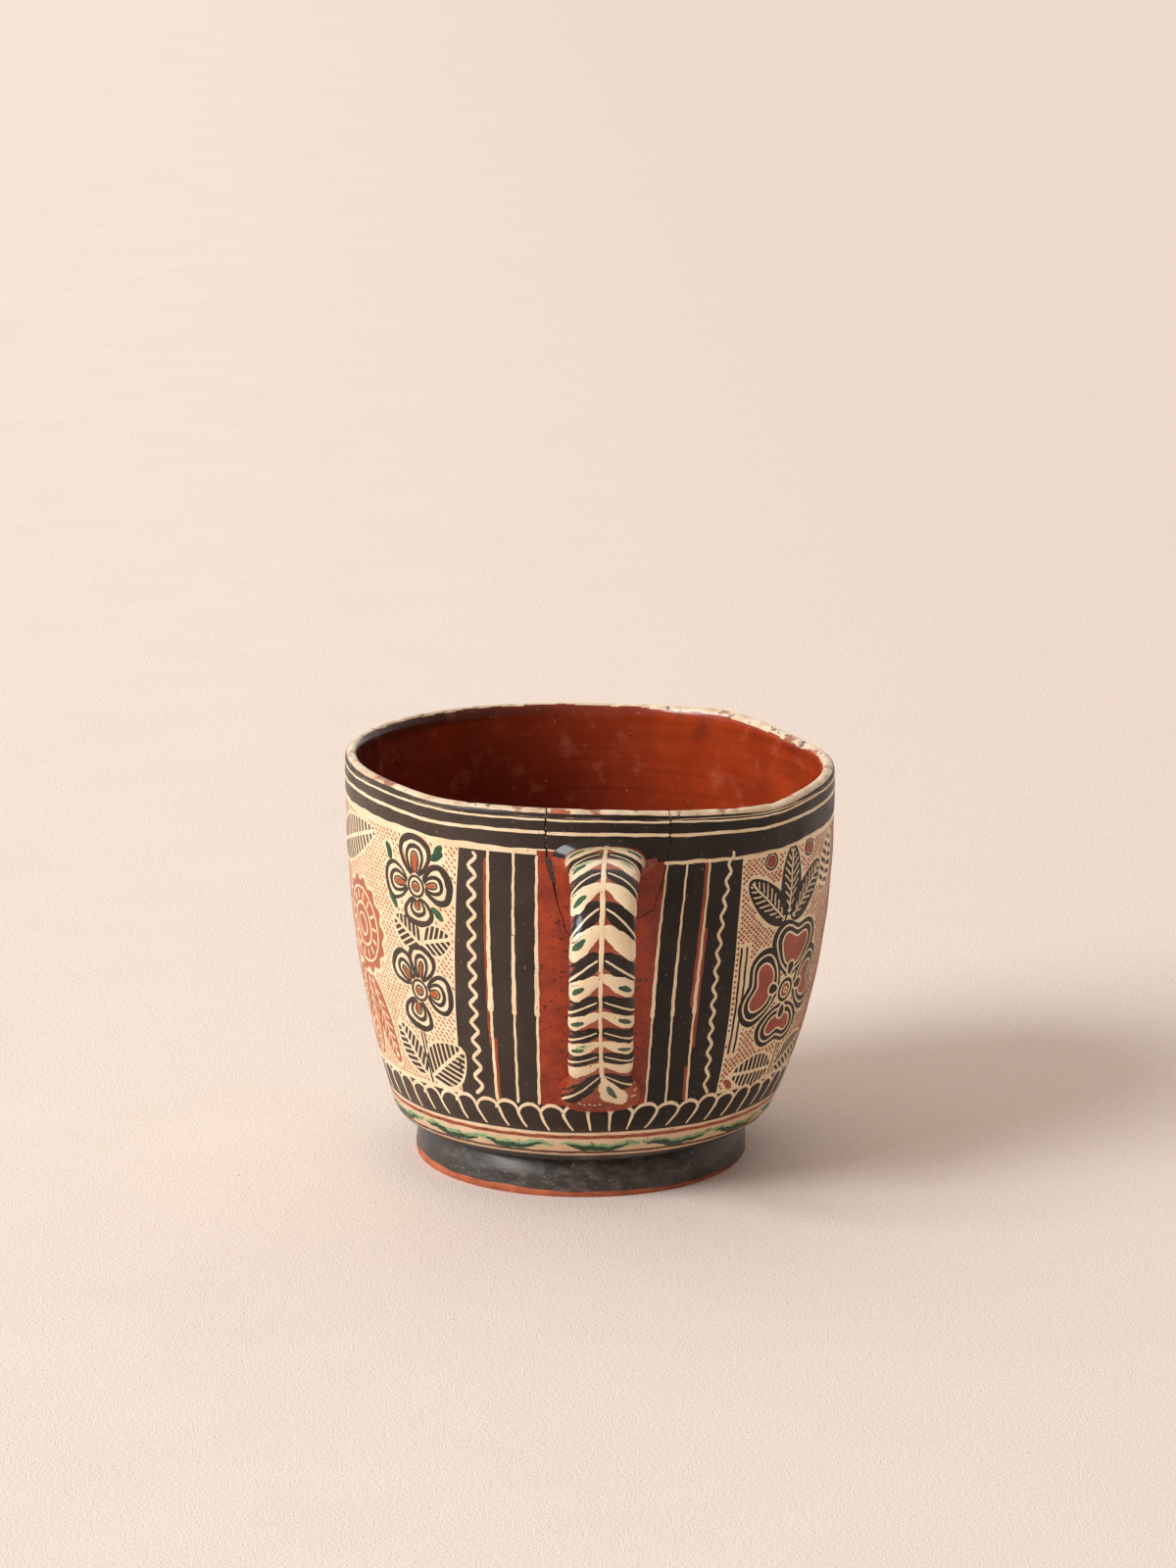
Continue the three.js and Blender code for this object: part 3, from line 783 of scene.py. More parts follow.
# %% Turn the foot ring
FOOT_STEPS = 240
foot_edge = curve_through(
    (FOOT_RADIUS - FOOT_EDGE_ROUND, 0.0), (FOOT_RADIUS, 0.0), (FOOT_RADIUS, FOOT_FLARE_HEIGHT),
    np.linspace(0, 1, 9),
)
flare_bend = (FOOT_RADIUS, (FOOT_FLARE_HEIGHT + FOOT_HEIGHT) / 2)
foot_flare = curve_through(
    (FOOT_RADIUS, FOOT_FLARE_HEIGHT), flare_bend, (FOOT_TOP_RADIUS, FOOT_HEIGHT),
    np.linspace(0, 1, 16),
)
foot_side = np.concatenate([foot_edge, foot_flare[1:]])


def round_axis(angle, radius, z):
    """A point about the cup's upright axis, in metres."""
    turn = np.radians(angle)
    return np.stack([radius * np.sin(turn), -radius * np.cos(turn), z], -1) * MM + AXIS


def foot_wobble(angle, z):
    """The foot's unevenness under the fingers."""
    turn = np.radians(angle)
    return 0.14 * np.sin(2 * turn + 1) + 0.1 * np.sin(7 * turn + 0.8 * z) + 0.07 * np.sin(1.9 * z)


def on_foot(angle, z, lift=0.0):
    """A point on the outer side of the foot ring, lifted straight out."""
    angle, z, lift = as_arrays(angle, z, lift)
    share = np.clip(z / FOOT_FLARE_HEIGHT, 0, 1) * np.clip((FOOT_HEIGHT - z) / FOOT_FLARE_HEIGHT, 0, 1)
    radius = np.interp(z, foot_side[:, 1], foot_side[:, 0]) + lift + share * foot_wobble(angle, z)
    return round_axis(angle, radius, z)


def turn_foot():
    """The ring: up its outer side, down inside it and along the flat underside it rests on."""
    angles = np.arange(FOOT_STEPS) * 360 / FOOT_STEPS
    rest_inner = FOOT_RADIUS - FOOT_EDGE_ROUND - FOOT_RING_WIDTH
    inner_top = (FOOT_TOP_RADIUS - FOOT_TOP_WIDTH, FOOT_HEIGHT)
    inner_bevel = [(rest_inner + 0.4, 0.6), (rest_inner + 1.2, 0.0)]
    rings = [on_foot(angles, z) for z in foot_side[:, 1]]
    rings += [round_axis(angles, radius, np.full(FOOT_STEPS, z)) for radius, z in (inner_top, *inner_bevel)]
    rings.append(rings[0])
    faces = grid_faces(len(rings), FOOT_STEPS, True)
    return weld(make_piece("foot_ring_body", np.concatenate(rings), faces, [clay]))


foot = seat(turn_foot(), "clay", "foot_ring")
print("foot ring of", len(foot.data.polygons), "faces")

# %% [markdown]
# ## Handle strap and its luting
# The handle is a pulled strap of clay, bent while soft and pressed on with wet clay at both ends.
# A curve object with a bevel would give the strap, but the garland has to be painted on it, so like
# the wall it is a formula: millimetres across, millimetres along and a lift give a point on the strap.

# %% The strap as a formula
STRAP_WIDTH = 12.7
STRAP_ROOT_WIDTH = 16.2
UPPER_FLARE = 12.0  # how far the widening at each root reaches along the strap
LOWER_FLARE = 6.0
STRAP_THICKNESS = 6.0
STRAP_FULLNESS = 0.85
UPPER_ROOT_HEIGHT = LIP_TOP - 9.6
LOWER_ROOT_HEIGHT = FOOT_HEIGHT + 17.5
UPPER_PULL = (-2.6, -36.0, 2.9)
LOWER_PULL = (-2.6, -39.0, 26.0)
UPPER_TUCK = 1.6  # how far the strap's ends run into the wall
LOWER_TUCK = 3.0

upper_root = on_wall(0, UPPER_ROOT_HEIGHT) / MM
lower_root = on_wall(0, LOWER_ROOT_HEIGHT) / MM
pulls = [upper_root, upper_root + UPPER_PULL, lower_root + LOWER_PULL, lower_root]
shares = np.linspace(0, 1, 800)[:, None]
weights = [(1 - shares) ** 3, 3 * shares * (1 - shares) ** 2, 3 * shares ** 2 * (1 - shares), shares ** 3]
ear = sum(weight * point for weight, point in zip(weights, pulls))
ear_heading = np.gradient(ear, axis=0)
ear_heading /= np.linalg.norm(ear_heading, axis=1)[:, None]
upper_end = ear[0] - ear_heading[0] * UPPER_TUCK
lower_end = ear[-1] + ear_heading[-1] * LOWER_TUCK
strap_line = np.concatenate([[upper_end], ear, [lower_end]])
heading = np.concatenate([ear_heading[:1], ear_heading, ear_heading[-1:]])
strap_steps = np.linalg.norm(np.diff(strap_line, axis=0), axis=1)
strap_run = np.concatenate([[0], np.cumsum(strap_steps)]) - UPPER_TUCK
STRAP_LENGTH = float(strap_run[-1] - LOWER_TUCK)
strap_across = np.array([1.0, 0, 0]) - heading * heading[:, :1]
strap_across /= np.linalg.norm(strap_across, axis=1)[:, None]
strap_outward = np.cross(heading, strap_across)


def fuller(wave, power):
    """A sine or cosine with its hollows filled out, which makes a circle squarer."""
    return np.sign(wave) * np.abs(wave) ** power


section_turn = np.linspace(0, math.pi, 400)
section_x = np.sin(section_turn) ** STRAP_FULLNESS * STRAP_WIDTH / 2
section_y = fuller(np.cos(section_turn), STRAP_FULLNESS) * STRAP_THICKNESS / 2
section_run = run_along(np.stack([section_x, section_y], 1))
SECTION_HALF = float(section_run[-1])  # round from the outer face's middle to the inner face's
EDGE = float(section_run[len(section_run) // 2])  # from the outer face's middle to the strap's edge


def on_strap(across, along, lift=0.0):
    """A point on the strap: across is counted round the section from the middle of the outer face,
    along from the upper root."""
    across, along, lift = as_arrays(across, along, lift)
    side = np.sign(across)
    reach = np.abs(across)
    x = np.interp(reach, section_run, section_x)
    y = np.interp(reach, section_run, section_y)
    step = 0.15
    ahead = np.minimum(reach + step, SECTION_HALF)
    behind = np.maximum(reach - step, 0)
    run_x = np.interp(ahead, section_run, section_x) - np.interp(behind, section_run, section_x)
    run_y = np.interp(ahead, section_run, section_y) - np.interp(behind, section_run, section_y)
    size = np.hypot(run_x, run_y)
    upper = np.exp(-(np.maximum(along, 0) / UPPER_FLARE) ** 2)
    lower = np.exp(-(np.maximum(STRAP_LENGTH - along, 0) / LOWER_FLARE) ** 2)
    widen = 1 + (STRAP_ROOT_WIDTH / STRAP_WIDTH - 1) * (upper + lower)
    ripple = 0.12 * np.sin(along / 2.3) * x / STRAP_WIDTH
    x = side * (x * widen + ripple - run_y / size * lift)
    y = y + run_x / size * lift
    place = [np.stack([np.interp(along, strap_run, frame_part[:, k]) for k in range(3)], -1)
             for frame_part in (strap_line, strap_across, strap_outward)]
    return (place[0] + place[1] * x[..., None] + place[2] * y[..., None]) * MM


print("strap", round(STRAP_LENGTH, 1), "mm long, section", round(2 * SECTION_HALF, 1), "mm round")

# %% [markdown]
# ### Strap and luting mounds
# Where the strap meets the wall, wet clay was pressed round it with a thumb and left a soft mound.
# Sculpting would give one mound. A smooth hill with a few dimples, laid on the wall's formula, gives both,
# and its thin edge sinks into the wall as smeared clay does.

# %% Strap and luting mounds
STRAP_RINGS = 150
STRAP_SIDES = 56


def pull_strap():
    """The strap as rings of points along its bend, closed at both ends."""
    rings = np.linspace(-UPPER_TUCK, STRAP_LENGTH + LOWER_TUCK, STRAP_RINGS)
    sides = np.linspace(-SECTION_HALF, SECTION_HALF, STRAP_SIDES + 1)[:-1]
    points = np.concatenate([on_strap(sides, np.full(STRAP_SIDES, along)) for along in rings])
    faces = grid_faces(STRAP_RINGS, STRAP_SIDES, True)
    last = (STRAP_RINGS - 1) * STRAP_SIDES
    faces.append(tuple(range(STRAP_SIDES)))
    faces.append(tuple(range(last + STRAP_SIDES - 1, last - 1, -1)))
    return make_piece("handle_strap_body", points, faces, [handle_red])


MOUND_COLUMNS = 56
MOUND_ROWS = 40
MOUND_SINK = 0.35
BLACK_FROM = 74.9  # the black of the rim bands runs down over the upper mound to this height
Mound = namedtuple("Mound", "height half_width half_height depth")
UPPER_MOUND = Mound(UPPER_ROOT_HEIGHT, 11.2, 4.7, 2.7)
LOWER_MOUND = Mound(LOWER_ROOT_HEIGHT + 1.4, 9.0, 4.3, 1.5)


def slab(top, under, rows, columns):
    """Points and faces of a closed slab between two grids of points, one over the other."""
    count = rows * columns
    upper = grid_faces(rows, columns, False)
    lower = [tuple(count + i for i in reversed(face)) for face in upper]
    border = list(range(columns))
    border += [row * columns + columns - 1 for row in range(1, rows)]
    border += [(rows - 1) * columns + column for column in range(columns - 2, -1, -1)]
    border += [row * columns for row in range(rows - 2, 0, -1)]
    skirt = [(i, count + i, count + j, j) for i, j in zip([border[-1]] + border[:-1], border)]
    return np.concatenate([top, under]), upper + lower + skirt


def press_mound(name, mound, colours, border=LIP_TOP):
    """Clay pressed round a root. Rows above the border take the second colour."""
    column, row = np.meshgrid(np.linspace(-1, 1, MOUND_COLUMNS), np.linspace(-1, 1, MOUND_ROWS))
    away = np.sqrt(column ** 2 + row ** 2)
    hill = mound.depth * np.cos(np.clip(away, 0, 1) * math.pi / 2) ** 0.9
    dimple = 0.22 * np.sin(9 * column + 2) * np.sin(7 * row + 1)
    lift = np.where(away < 1, hill + dimple * (1 - away), 0) - MOUND_SINK * np.clip(away * 3 - 2, 0, 1)
    angle = column * mound.half_width / wall_degree(mound.height)
    z = mound.height + row * mound.half_height
    top = on_wall(angle, z, lift).reshape(-1, 3)
    under = on_wall(angle, z, -2 * MOUND_SINK).reshape(-1, 3)
    points, faces = slab(top, under, MOUND_ROWS, MOUND_COLUMNS)
    upper_faces = (MOUND_ROWS - 1) * (MOUND_COLUMNS - 1)
    finishes = [int(z[face[0] // MOUND_COLUMNS, 0] > border) for face in faces[:upper_faces]]
    finishes += [0] * (len(faces) - upper_faces)
    return make_piece(name, points, faces, colours, finishes)


strap = seat(pull_strap(), "red_slip", "handle_strap")
upper_mound = press_mound("upper_luting_body", UPPER_MOUND, [mound_red, handle_black], BLACK_FROM)
seat(upper_mound, "black_slip", "upper_luting_coil")
lower_mound = press_mound("lower_luting_body", LOWER_MOUND, [mound_red])
seat(lower_mound, "red_slip", "lower_luting_coil")
print("strap of", len(strap.data.polygons), "faces, two luting mounds")

# %% [markdown]
# ## Painting with slip
# Slip goes on thick: each stroke stands a hair above the wall. The painting could be one image wrapped
# round the cup, but strokes made as thin closed solids keep a crisp edge and catch the light.
# A coat gathers all strokes of one colour in one part of the cup. A ground says where its strokes land.

# %% Coats and grounds
Ground = namedtuple("Ground", "place scale")
WALL = Ground(on_wall, wall_degree)
STRAP = Ground(on_strap, lambda along: np.ones_like(np.asarray(along, float)))
FOOT = Ground(on_foot, lambda z: np.radians(np.full_like(np.asarray(z, float), FOOT_RADIUS)))

SINK = -0.06  # the underside of every stroke, inside the wall
FIRST_LIFT = 0.035  # slip on the cream ground
SECOND_LIFT = 0.065  # slip over that, and so on
THIRD_LIFT = 0.10
TOP_LIFT = 0.13
coats = []


class Coat:
    """All strokes of one colour in one part of the cup."""

    def __init__(self, name, finish, slot_name):
        self.name = name
        self.finish = finish
        self.slot_name = slot_name
        self.blocks = []
        self.faces = []
        self.count = 0
        coats.append(self)

    def add(self, points, faces):
        shift = self.count
        self.blocks.append(points)
        self.faces.extend([tuple(i + shift for i in face) for face in faces])
        self.count += len(points)

    def fire(self):
        """Turns the gathered strokes into one piece of the cup."""
        piece = make_piece(self.name, np.concatenate(self.blocks), self.faces, [self.finish])
        return seat(piece, self.slot_name)


def tremble(run, size, length):
    """The small unsteadiness of a hand along a stroke."""
    swing = sum(
        share * np.sin(2 * math.pi * run / (length * stretch) + hand.uniform(0, 2 * math.pi))
        for share, stretch in ((1.0, 1.0), (0.6, 0.43), (0.35, 0.19))
    )
    return size * swing


print("strokes stand", FIRST_LIFT, "to", TOP_LIFT, "mm above the wall")

# %% [markdown]
# ### A brush stroke
# A loaded brush leaves a line with round ends that swells and thins with the hand.
# A bevelled curve would float over a round wall. This function lays a narrow strip of points along
# the path, lifts its middle, sinks its edges and shakes both by a hair, so the line hugs the wall.

# %% A brush stroke
STROKE_STEP = 0.55
LANE = 1.3  # widest flat strip of a stroke
FLAT_SHARE = 0.37  # how far from its middle line a stroke stays level, as a share of its width
END_SHARES = np.array([0.06, 0.2, 0.4])  # extra points near a round end, in widths from it
END_BLUNTNESS = 0.985  # 1 would let a round end run out to a point
WIDTH_SHAKE = (0.07, 7.0)  # how much the width varies, and over how many millimetres
DRIFT_LENGTH = 6.0
JOIN_FADE = 3.0  # a closed stroke steadies over this length to meet its start


def stroke_run(ground, path):
    """Millimetres from the start of a path to each of its points."""
    a, b = path.T
    scale = ground.scale(b)
    steps = np.hypot(np.diff(a) * (scale[1:] + scale[:-1]) / 2, np.diff(b))
    return np.concatenate([[0], np.cumsum(steps)])


def brush(coat, ground, path, width, lift, closed=False, shaky=0.05):
    """A stroke with round ends along a path. Its width may be a function of the share along it."""
    path = np.asarray(path, float)
    if closed:
        path = np.concatenate([path, path[:1]])
    run = stroke_run(ground, path)
    length = run[-1]
    widest = width(0.5) if callable(width) else width
    count = max(3, int(round(length / STROKE_STEP)))
    stations = np.linspace(0, length, count + 1)
    if not closed:
        ends = END_SHARES * min(widest, length / 2)
        stations = np.unique(np.concatenate([stations, ends, length - ends]))
    a = np.interp(stations, run, path[:, 0])
    b = np.interp(stations, run, path[:, 1])
    share = stations / length
    wide = np.array([width(t) for t in share]) if callable(width) else np.full(len(share), width)
    wide = wide * (1 + tremble(stations, *WIDTH_SHAKE))
    drift = tremble(stations, shaky, DRIFT_LENGTH)
    if closed:
        fade = np.minimum(1, np.minimum(stations, length - stations) / JOIN_FADE)
        drift = drift * fade
        wide = np.where(fade < 1, wide * fade + widest * (1 - fade), wide)
    else:
        end = np.minimum(stations, length - stations) / (wide / 2 + 1e-9)
        wide = wide * np.sqrt(np.clip(1 - np.clip(1 - end, 0, END_BLUNTNESS) ** 2, 0, 1))
    scale = ground.scale(b)
    along_a = np.gradient(a) * scale
    along_b = np.gradient(b)
    if closed:
        along_a[0] = along_a[-1] = (a[1] - a[0] + a[-1] - a[-2]) / 2 * scale[0]
        along_b[0] = along_b[-1] = (b[1] - b[0] + b[-1] - b[-2]) / 2
    size = np.hypot(along_a, along_b) + 1e-12
    lanes = max(1, int(math.ceil(wide.max() * 0.7 / LANE)))
    inner = np.linspace(-FLAT_SHARE, FLAT_SHARE, lanes + 1)
    places = np.concatenate([[-0.5], inner, [0.5]])
    lifts = np.concatenate([[SINK], np.full(lanes + 1, lift), [SINK]])
    columns = len(places)
    offset = wide[:, None] * places + drift[:, None]
    grid_a = a[:, None] - along_b[:, None] / size[:, None] * offset / scale[:, None]
    grid_b = b[:, None] + along_a[:, None] / size[:, None] * offset
    grid_lift = np.broadcast_to(lifts, grid_a.shape)
    if closed:
        grid_a, grid_b, grid_lift = grid_a[:-1], grid_b[:-1], grid_lift[:-1]
    rows = len(grid_a)
    points = ground.place(grid_a, grid_b, grid_lift).reshape(-1, 3)
    faces = grid_faces(rows, columns, True)
    if closed:
        last = (rows - 1) * columns
        faces += [(last + c, last + (c + 1) % columns, (c + 1) % columns, c) for c in range(columns)]
    else:
        faces.append(tuple(range(columns)))
        faces.append(tuple(range(rows * columns - 1, (rows - 1) * columns - 1, -1)))
    coat.add(points, faces)


print("a stroke has points every", STROKE_STEP, "mm")

# %% [markdown]
# ### A filled area
# Petals, panels and bands are areas of slip and not lines. One flat face would cut through the curved wall,
# so an outline is filled with triangles small enough to follow it, and a second layer under the first
# closes the solid. Areas with four plain sides are simpler: a grid does for them.

# %% A filled area
FILL_STEP = 2.0  # distance between the points inside an area
EDGE_STEP = 0.7  # and between those along its outline


def inside(outline, points):
    """Which points lie within a closed outline."""
    x, y = points[:, 0], points[:, 1]
    found = np.zeros(len(points), bool)
    for (x0, y0), (x1, y1) in zip(outline, np.roll(outline, -1, axis=0)):
        crosses = (y0 > y) != (y1 > y)
        with np.errstate(divide="ignore", invalid="ignore"):
            found ^= crosses & (x < (x1 - x0) * (y - y0) / (y1 - y0) + x0)
    return found


def shell(coat, ground, flat, triangles, scale, lift, sink):
    """A thin closed solid over a flat set of triangles."""
    a, b = flat[:, 0] / scale, flat[:, 1]
    count = len(flat)
    edges = {}
    for triangle in triangles:
        for i in range(3):
            edges[(triangle[i], triangle[(i + 1) % 3])] = True
    border = [edge for edge in edges if (edge[1], edge[0]) not in edges]
    top = ground.place(a, b, np.full(count, lift))
    under = ground.place(a, b, np.full(count, sink))
    faces = [tuple(t) for t in triangles]
    faces += [(t[2] + count, t[1] + count, t[0] + count) for t in triangles]
    faces += [(i + count, j + count, j, i) for i, j in border]
    coat.add(np.concatenate([top, under]), faces)


def fill(coat, ground, outline, lift, gaps=(), sink=SINK):
    """Slip laid within an outline of places on a ground, leaving out any gaps."""
    outline = np.asarray(outline, float)
    scale = float(np.mean(ground.scale(outline[:, 1])))
    loops = []
    for loop in (outline, *gaps):
        flat = np.asarray(loop, float) * (scale, 1)
        closed = np.concatenate([flat, flat[:1]])
        run = run_along(closed)
        stations = np.arange(0, run[-1] - EDGE_STEP / 3, EDGE_STEP)
        stations = np.unique(np.concatenate([stations, run[:-1]]).round(4))
        loops.append(np.stack([np.interp(stations, run, closed[:, k]) for k in (0, 1)], 1))
    low, high = loops[0].min(0), loops[0].max(0)
    columns, rows = (np.arange(low[k], high[k], FILL_STEP) for k in (0, 1))
    grid = np.stack(np.meshgrid(columns, rows), -1).reshape(-1, 2)
    grid = grid[inside(loops[0], grid)]
    edge_points = np.concatenate(loops)
    if len(grid):
        apart = np.min(np.hypot(*(grid[:, None] - edge_points[None]).transpose(2, 0, 1)), axis=1)
        grid = grid[apart > FILL_STEP / 2]
    points = [Vector(p) for p in np.concatenate([edge_points, grid])]
    edges = []
    start = 0
    for loop in loops:
        edges += [(start + i, start + (i + 1) % len(loop)) for i in range(len(loop))]
        start += len(loop)
    found = delaunay_2d_cdt(points, edges, [], 0, 1e-6)
    flat = np.array([tuple(p) for p in found[0]])
    triangles = np.array(found[2])
    centres = flat[triangles].mean(1)
    keep = inside(loops[0], centres)
    for gap in loops[1:]:
        keep &= ~inside(gap, centres)
    shell(coat, ground, flat, triangles[keep].tolist(), scale, lift, sink)


print("an area has points every", FILL_STEP, "mm inside and every", EDGE_STEP, "mm along its outline")


# %% A band
def band(coat, ground, left, right, low, high, lift, step=2.0):
    """Slip between two angles and two heights. Each side is a number or a function along that side."""
    left_at, right_at, low_at, high_at = (
        side if callable(side) else (lambda place, level=side: level + 0 * place)
        for side in (left, right, low, high)
    )
    middle = np.array([(low_at(np.zeros(1))[0] + high_at(np.zeros(1))[0]) / 2])
    start, end = float(left_at(middle)[0]), float(right_at(middle)[0])
    columns = max(2, int(math.ceil((end - start) * float(ground.scale(middle)[0]) / step)) + 1)
    share = np.linspace(0, 1, columns)
    rough = start + (end - start) * share
    tall = float(np.max(high_at(rough) - low_at(rough)))
    rows = max(2, int(math.ceil(tall / step)) + 1)
    climb = np.linspace(0, 1, rows)[:, None]
    b = low_at(rough) + (high_at(rough) - low_at(rough)) * climb
    a = left_at(b) + (right_at(b) - left_at(b)) * share
    top, under = (ground.place(a, b, level).reshape(-1, 3) for level in (lift, SINK))
    coat.add(*slab(top, under, rows, columns))


print("strokes, areas and bands are ready")

# %% [markdown]
# ## Rim bands
# Round the rim run black bands with thin cream lines between them. Whole rings would bridge the crack,
# so each is laid in two runs, one on the bowl and one on the sherd, and stops at the broken edge
# as the real slip does.

# %% Rim bands
rim_black = Coat("rim_black_bands", black_slip, "black_slip")
rim_cream = Coat("rim_cream_lines", cream_slip, "cream_slip")
RIM_TOP = 82.7
LIP_LINE = 83.12
THIN_LINES = [(82.25, 0.55), (79.65, 0.85)]


def side_angle(side, part):
    """The crack's angle at a height, on its left or right half."""
    points = side[:LOWEST] if part == "left" else side[LOWEST:][::-1]
    order = np.argsort(points[:, 1])
    return lambda z: np.interp(z, points[order, 1], points[order, 0])


RIM_RUNS = [
    (side_angle(bowl_side, "right"), lambda z: side_angle(bowl_side, "left")(z) + 360),
    (side_angle(sherd_side, "left"), side_angle(sherd_side, "right")),
]


def rim_low(angle):
    """Lower edge of the wide black band: higher on the left of the handle than on the right."""
    away = signed(angle)
    edge = np.interp(away, [-180, -60, -14, 2, 14, 60, 180], [75.6, 76.7, 76.3, 75.0, 74.3, 74.6, 75.6])
    return edge + 0.12 * np.sin(away / 2.9) + 0.08 * np.sin(away / 1.1)


def lip_line_width(angle):
    """The line along the lip thins out a little to the right of the handle."""
    return 0.82 - 0.6 * math.exp(-((angle - 42) / 22) ** 2) + 0.1 * math.sin(angle / 4.3)


def lip_strand(angles):
    """Width along one of the three strands that make the lip's line."""
    return lambda t: 0.42 * lip_line_width(angles[0] + (angles[-1] - angles[0]) * t)


def run_angles(left, right, height):
    """Angles along one run of the rim, about a degree and a half apart."""
    start, end = float(left(height)), float(right(height))
    return np.linspace(start, end, max(8, int((end - start) / 1.5)))


for left, right in RIM_RUNS:
    band(rim_black, WALL, left, right, rim_low, RIM_TOP, SECOND_LIFT, 1.4)
    for height, width in THIN_LINES:
        angles = run_angles(left, right, height)
        path = np.stack([angles, height + tremble(angles, 0.07, 50.0)], 1)
        brush(rim_cream, WALL, path, width, THIRD_LIFT, shaky=0.02)
    angles = run_angles(left, right, LIP_LINE)
    wide = np.array([lip_line_width(angle) for angle in angles])
    for place in (-1, 0, 1):
        path = np.stack([angles, LIP_LINE + place * wide * 0.3], 1)
        brush(rim_black, WALL, path, lip_strand(angles), SECOND_LIFT, shaky=0.02)
print("rim bands laid from", round(float(rim_low(0)), 1), "to", RIM_TOP, "mm")

# %% [markdown]
# ## Bars beside the handle
# On each side of the handle stand black bars split by cream lines, some with a sliver of red,
# and a wavy line. They could be straight, but the painter's wrist makes them lean and bow,
# so each line has an angle at a few heights and is smooth between.

# %% Bars
bar_black = Coat("bar_black", black_slip, "black_slip")
bar_cream = Coat("bar_cream_lines", cream_slip, "cream_slip")
bar_red = Coat("bar_red_lines", red_slip, "red_slip")
BAR_FOOT = 21.6
LINE_FOOT = 22.0
WAVE_FOOT = 22.6
BRUSH_RELOAD = 43.0  # where the painter dipped the brush again


def leaning(heights, angles):
    """A line up the wall through a few angles, smooth between them."""
    fit = np.polyfit(heights, angles, min(3, len(heights) - 1))
    return lambda z: np.polyval(fit, z)


def upright(coat, line, low, high, width, lift, shaky=0.045):
    """A stroke pulled down along a line."""
    z = np.linspace(high, low, max(4, int((high - low) / 1.5)))
    brush(coat, WALL, np.stack([line(z), z], 1), width, lift, shaky=shaky)


def reloaded(coat, line, low, high, width):
    """A long line in two pulls of the brush. The first swells to a blunt end and the second starts thin."""
    upright(coat, line, BRUSH_RELOAD - 1.6, high, lambda t: width * (0.78 + 0.75 * t ** 2), THIRD_LIFT)
    upright(coat, line, low, BRUSH_RELOAD + 1.0, lambda t: width * (0.72 + 0.15 * t), THIRD_LIFT)


def sliver(line, aside, low, high, width, growth=0.0):
    """A sliver of red beside a cream line."""
    upright(bar_red, lambda z: line(z) + aside, low, high, lambda t: width + growth * t, SECOND_LIFT)


def wavy(coat, line, low, high, swing, pitch, width):
    """A zigzag with rounded corners."""
    z = np.arange(high, low, -pitch / 14)
    wave = np.sin(2 * math.pi * (high - z) / pitch + 0.5 * np.sin((high - z) / 6))
    sharpness = 0.93  # 1 would make the corners pointed
    wave = np.arcsin(sharpness * wave) / math.asin(sharpness)
    angle = line(z) + wave * swing / wall_degree(z)
    brush(coat, WALL, np.stack([angle, z], 1), width, THIRD_LIFT, shaky=0.03)


LEFT_TOP = 75.6
TWO_LEVELS = (22, 76)  # heights at which a line's angles are given
LEFT_LEVELS = (22, 35, 56, 76)
left_edge = leaning(LEFT_LEVELS, [-38.9, -38.2, -36.4, -34.4])
left_inner = leaning(TWO_LEVELS, [-16.2, -15.5])
left_wave = leaning(TWO_LEVELS, [-33.3, -31.0])
left_red = leaning(TWO_LEVELS, [-28.1, -27.1])
left_cream = leaning(TWO_LEVELS, [-22.1, -20.9])
band(bar_black, WALL, left_edge, left_inner, BAR_FOOT, LEFT_TOP - 0.5, FIRST_LIFT)
wavy(bar_cream, left_wave, WAVE_FOOT, LEFT_TOP - 1.0, 0.85, 4.1, 0.95)
reloaded(bar_cream, left_red, LINE_FOOT, LEFT_TOP, 1.0)
reloaded(bar_cream, left_cream, LINE_FOOT, LEFT_TOP, 0.8)
reloaded(bar_cream, left_inner, LINE_FOOT, LEFT_TOP - 0.6, 0.85)
sliver(left_red, -0.75, 34.0, 73.5, 0.9, -0.3)
sliver(left_red, 0.75, LINE_FOOT, 36.0, 0.8)

RIGHT_TOP = 73.9
RIGHT_LEVELS = (22, 37, 56, 74)
right_edge = leaning(RIGHT_LEVELS, [12.4, 11.9, 12.5, 14.5])
right_cream = leaning(RIGHT_LEVELS, [18.2, 17.0, 17.5, 19.3])
right_red = leaning(RIGHT_LEVELS, [24.3, 22.7, 23.4, 25.0])
right_wave = leaning(RIGHT_LEVELS, [30.1, 28.2, 28.2, 30.8])
right_outer = leaning(RIGHT_LEVELS, [33.9, 33.2, 33.2, 34.2])
band(bar_black, WALL, right_edge, right_outer, BAR_FOOT, RIGHT_TOP, FIRST_LIFT)
for line, width in ((right_edge, 0.62), (right_cream, 0.62), (right_red, 0.7)):
    reloaded(bar_cream, line, LINE_FOOT, RIGHT_TOP, width)
wavy(bar_cream, right_wave, WAVE_FOOT, LEFT_TOP, 0.48, 3.7, 0.82)
sliver(right_red, -0.75, 43.0, 74.6, 0.7, 0.4)
sliver(right_red, 0.7, 34.0, 60.0, 0.9)
sliver(right_red, -0.7, LINE_FOOT, 30.0, 0.9)
across_top = np.linspace(13.6, 76.0, 40)
top_line = np.stack([across_top, RIGHT_TOP + 0.006 * (across_top - 14)], 1)
brush(bar_cream, WALL, top_line, 0.85, THIRD_LIFT)
print("bars from", BAR_FOOT, "to", LEFT_TOP, "mm on the left and", RIGHT_TOP, "on the right")

# %% [markdown]
# ## Red panel behind the handle
# Between the bars the wall is red. The crack runs through it and a flake of slip is gone beside the handle.
# A plain band would cover both, so the red is filled up to the crack's two lips
# and the flake is filled with near-black clay. Deep in the crack sits the glue of the repair, which stops
# the light.

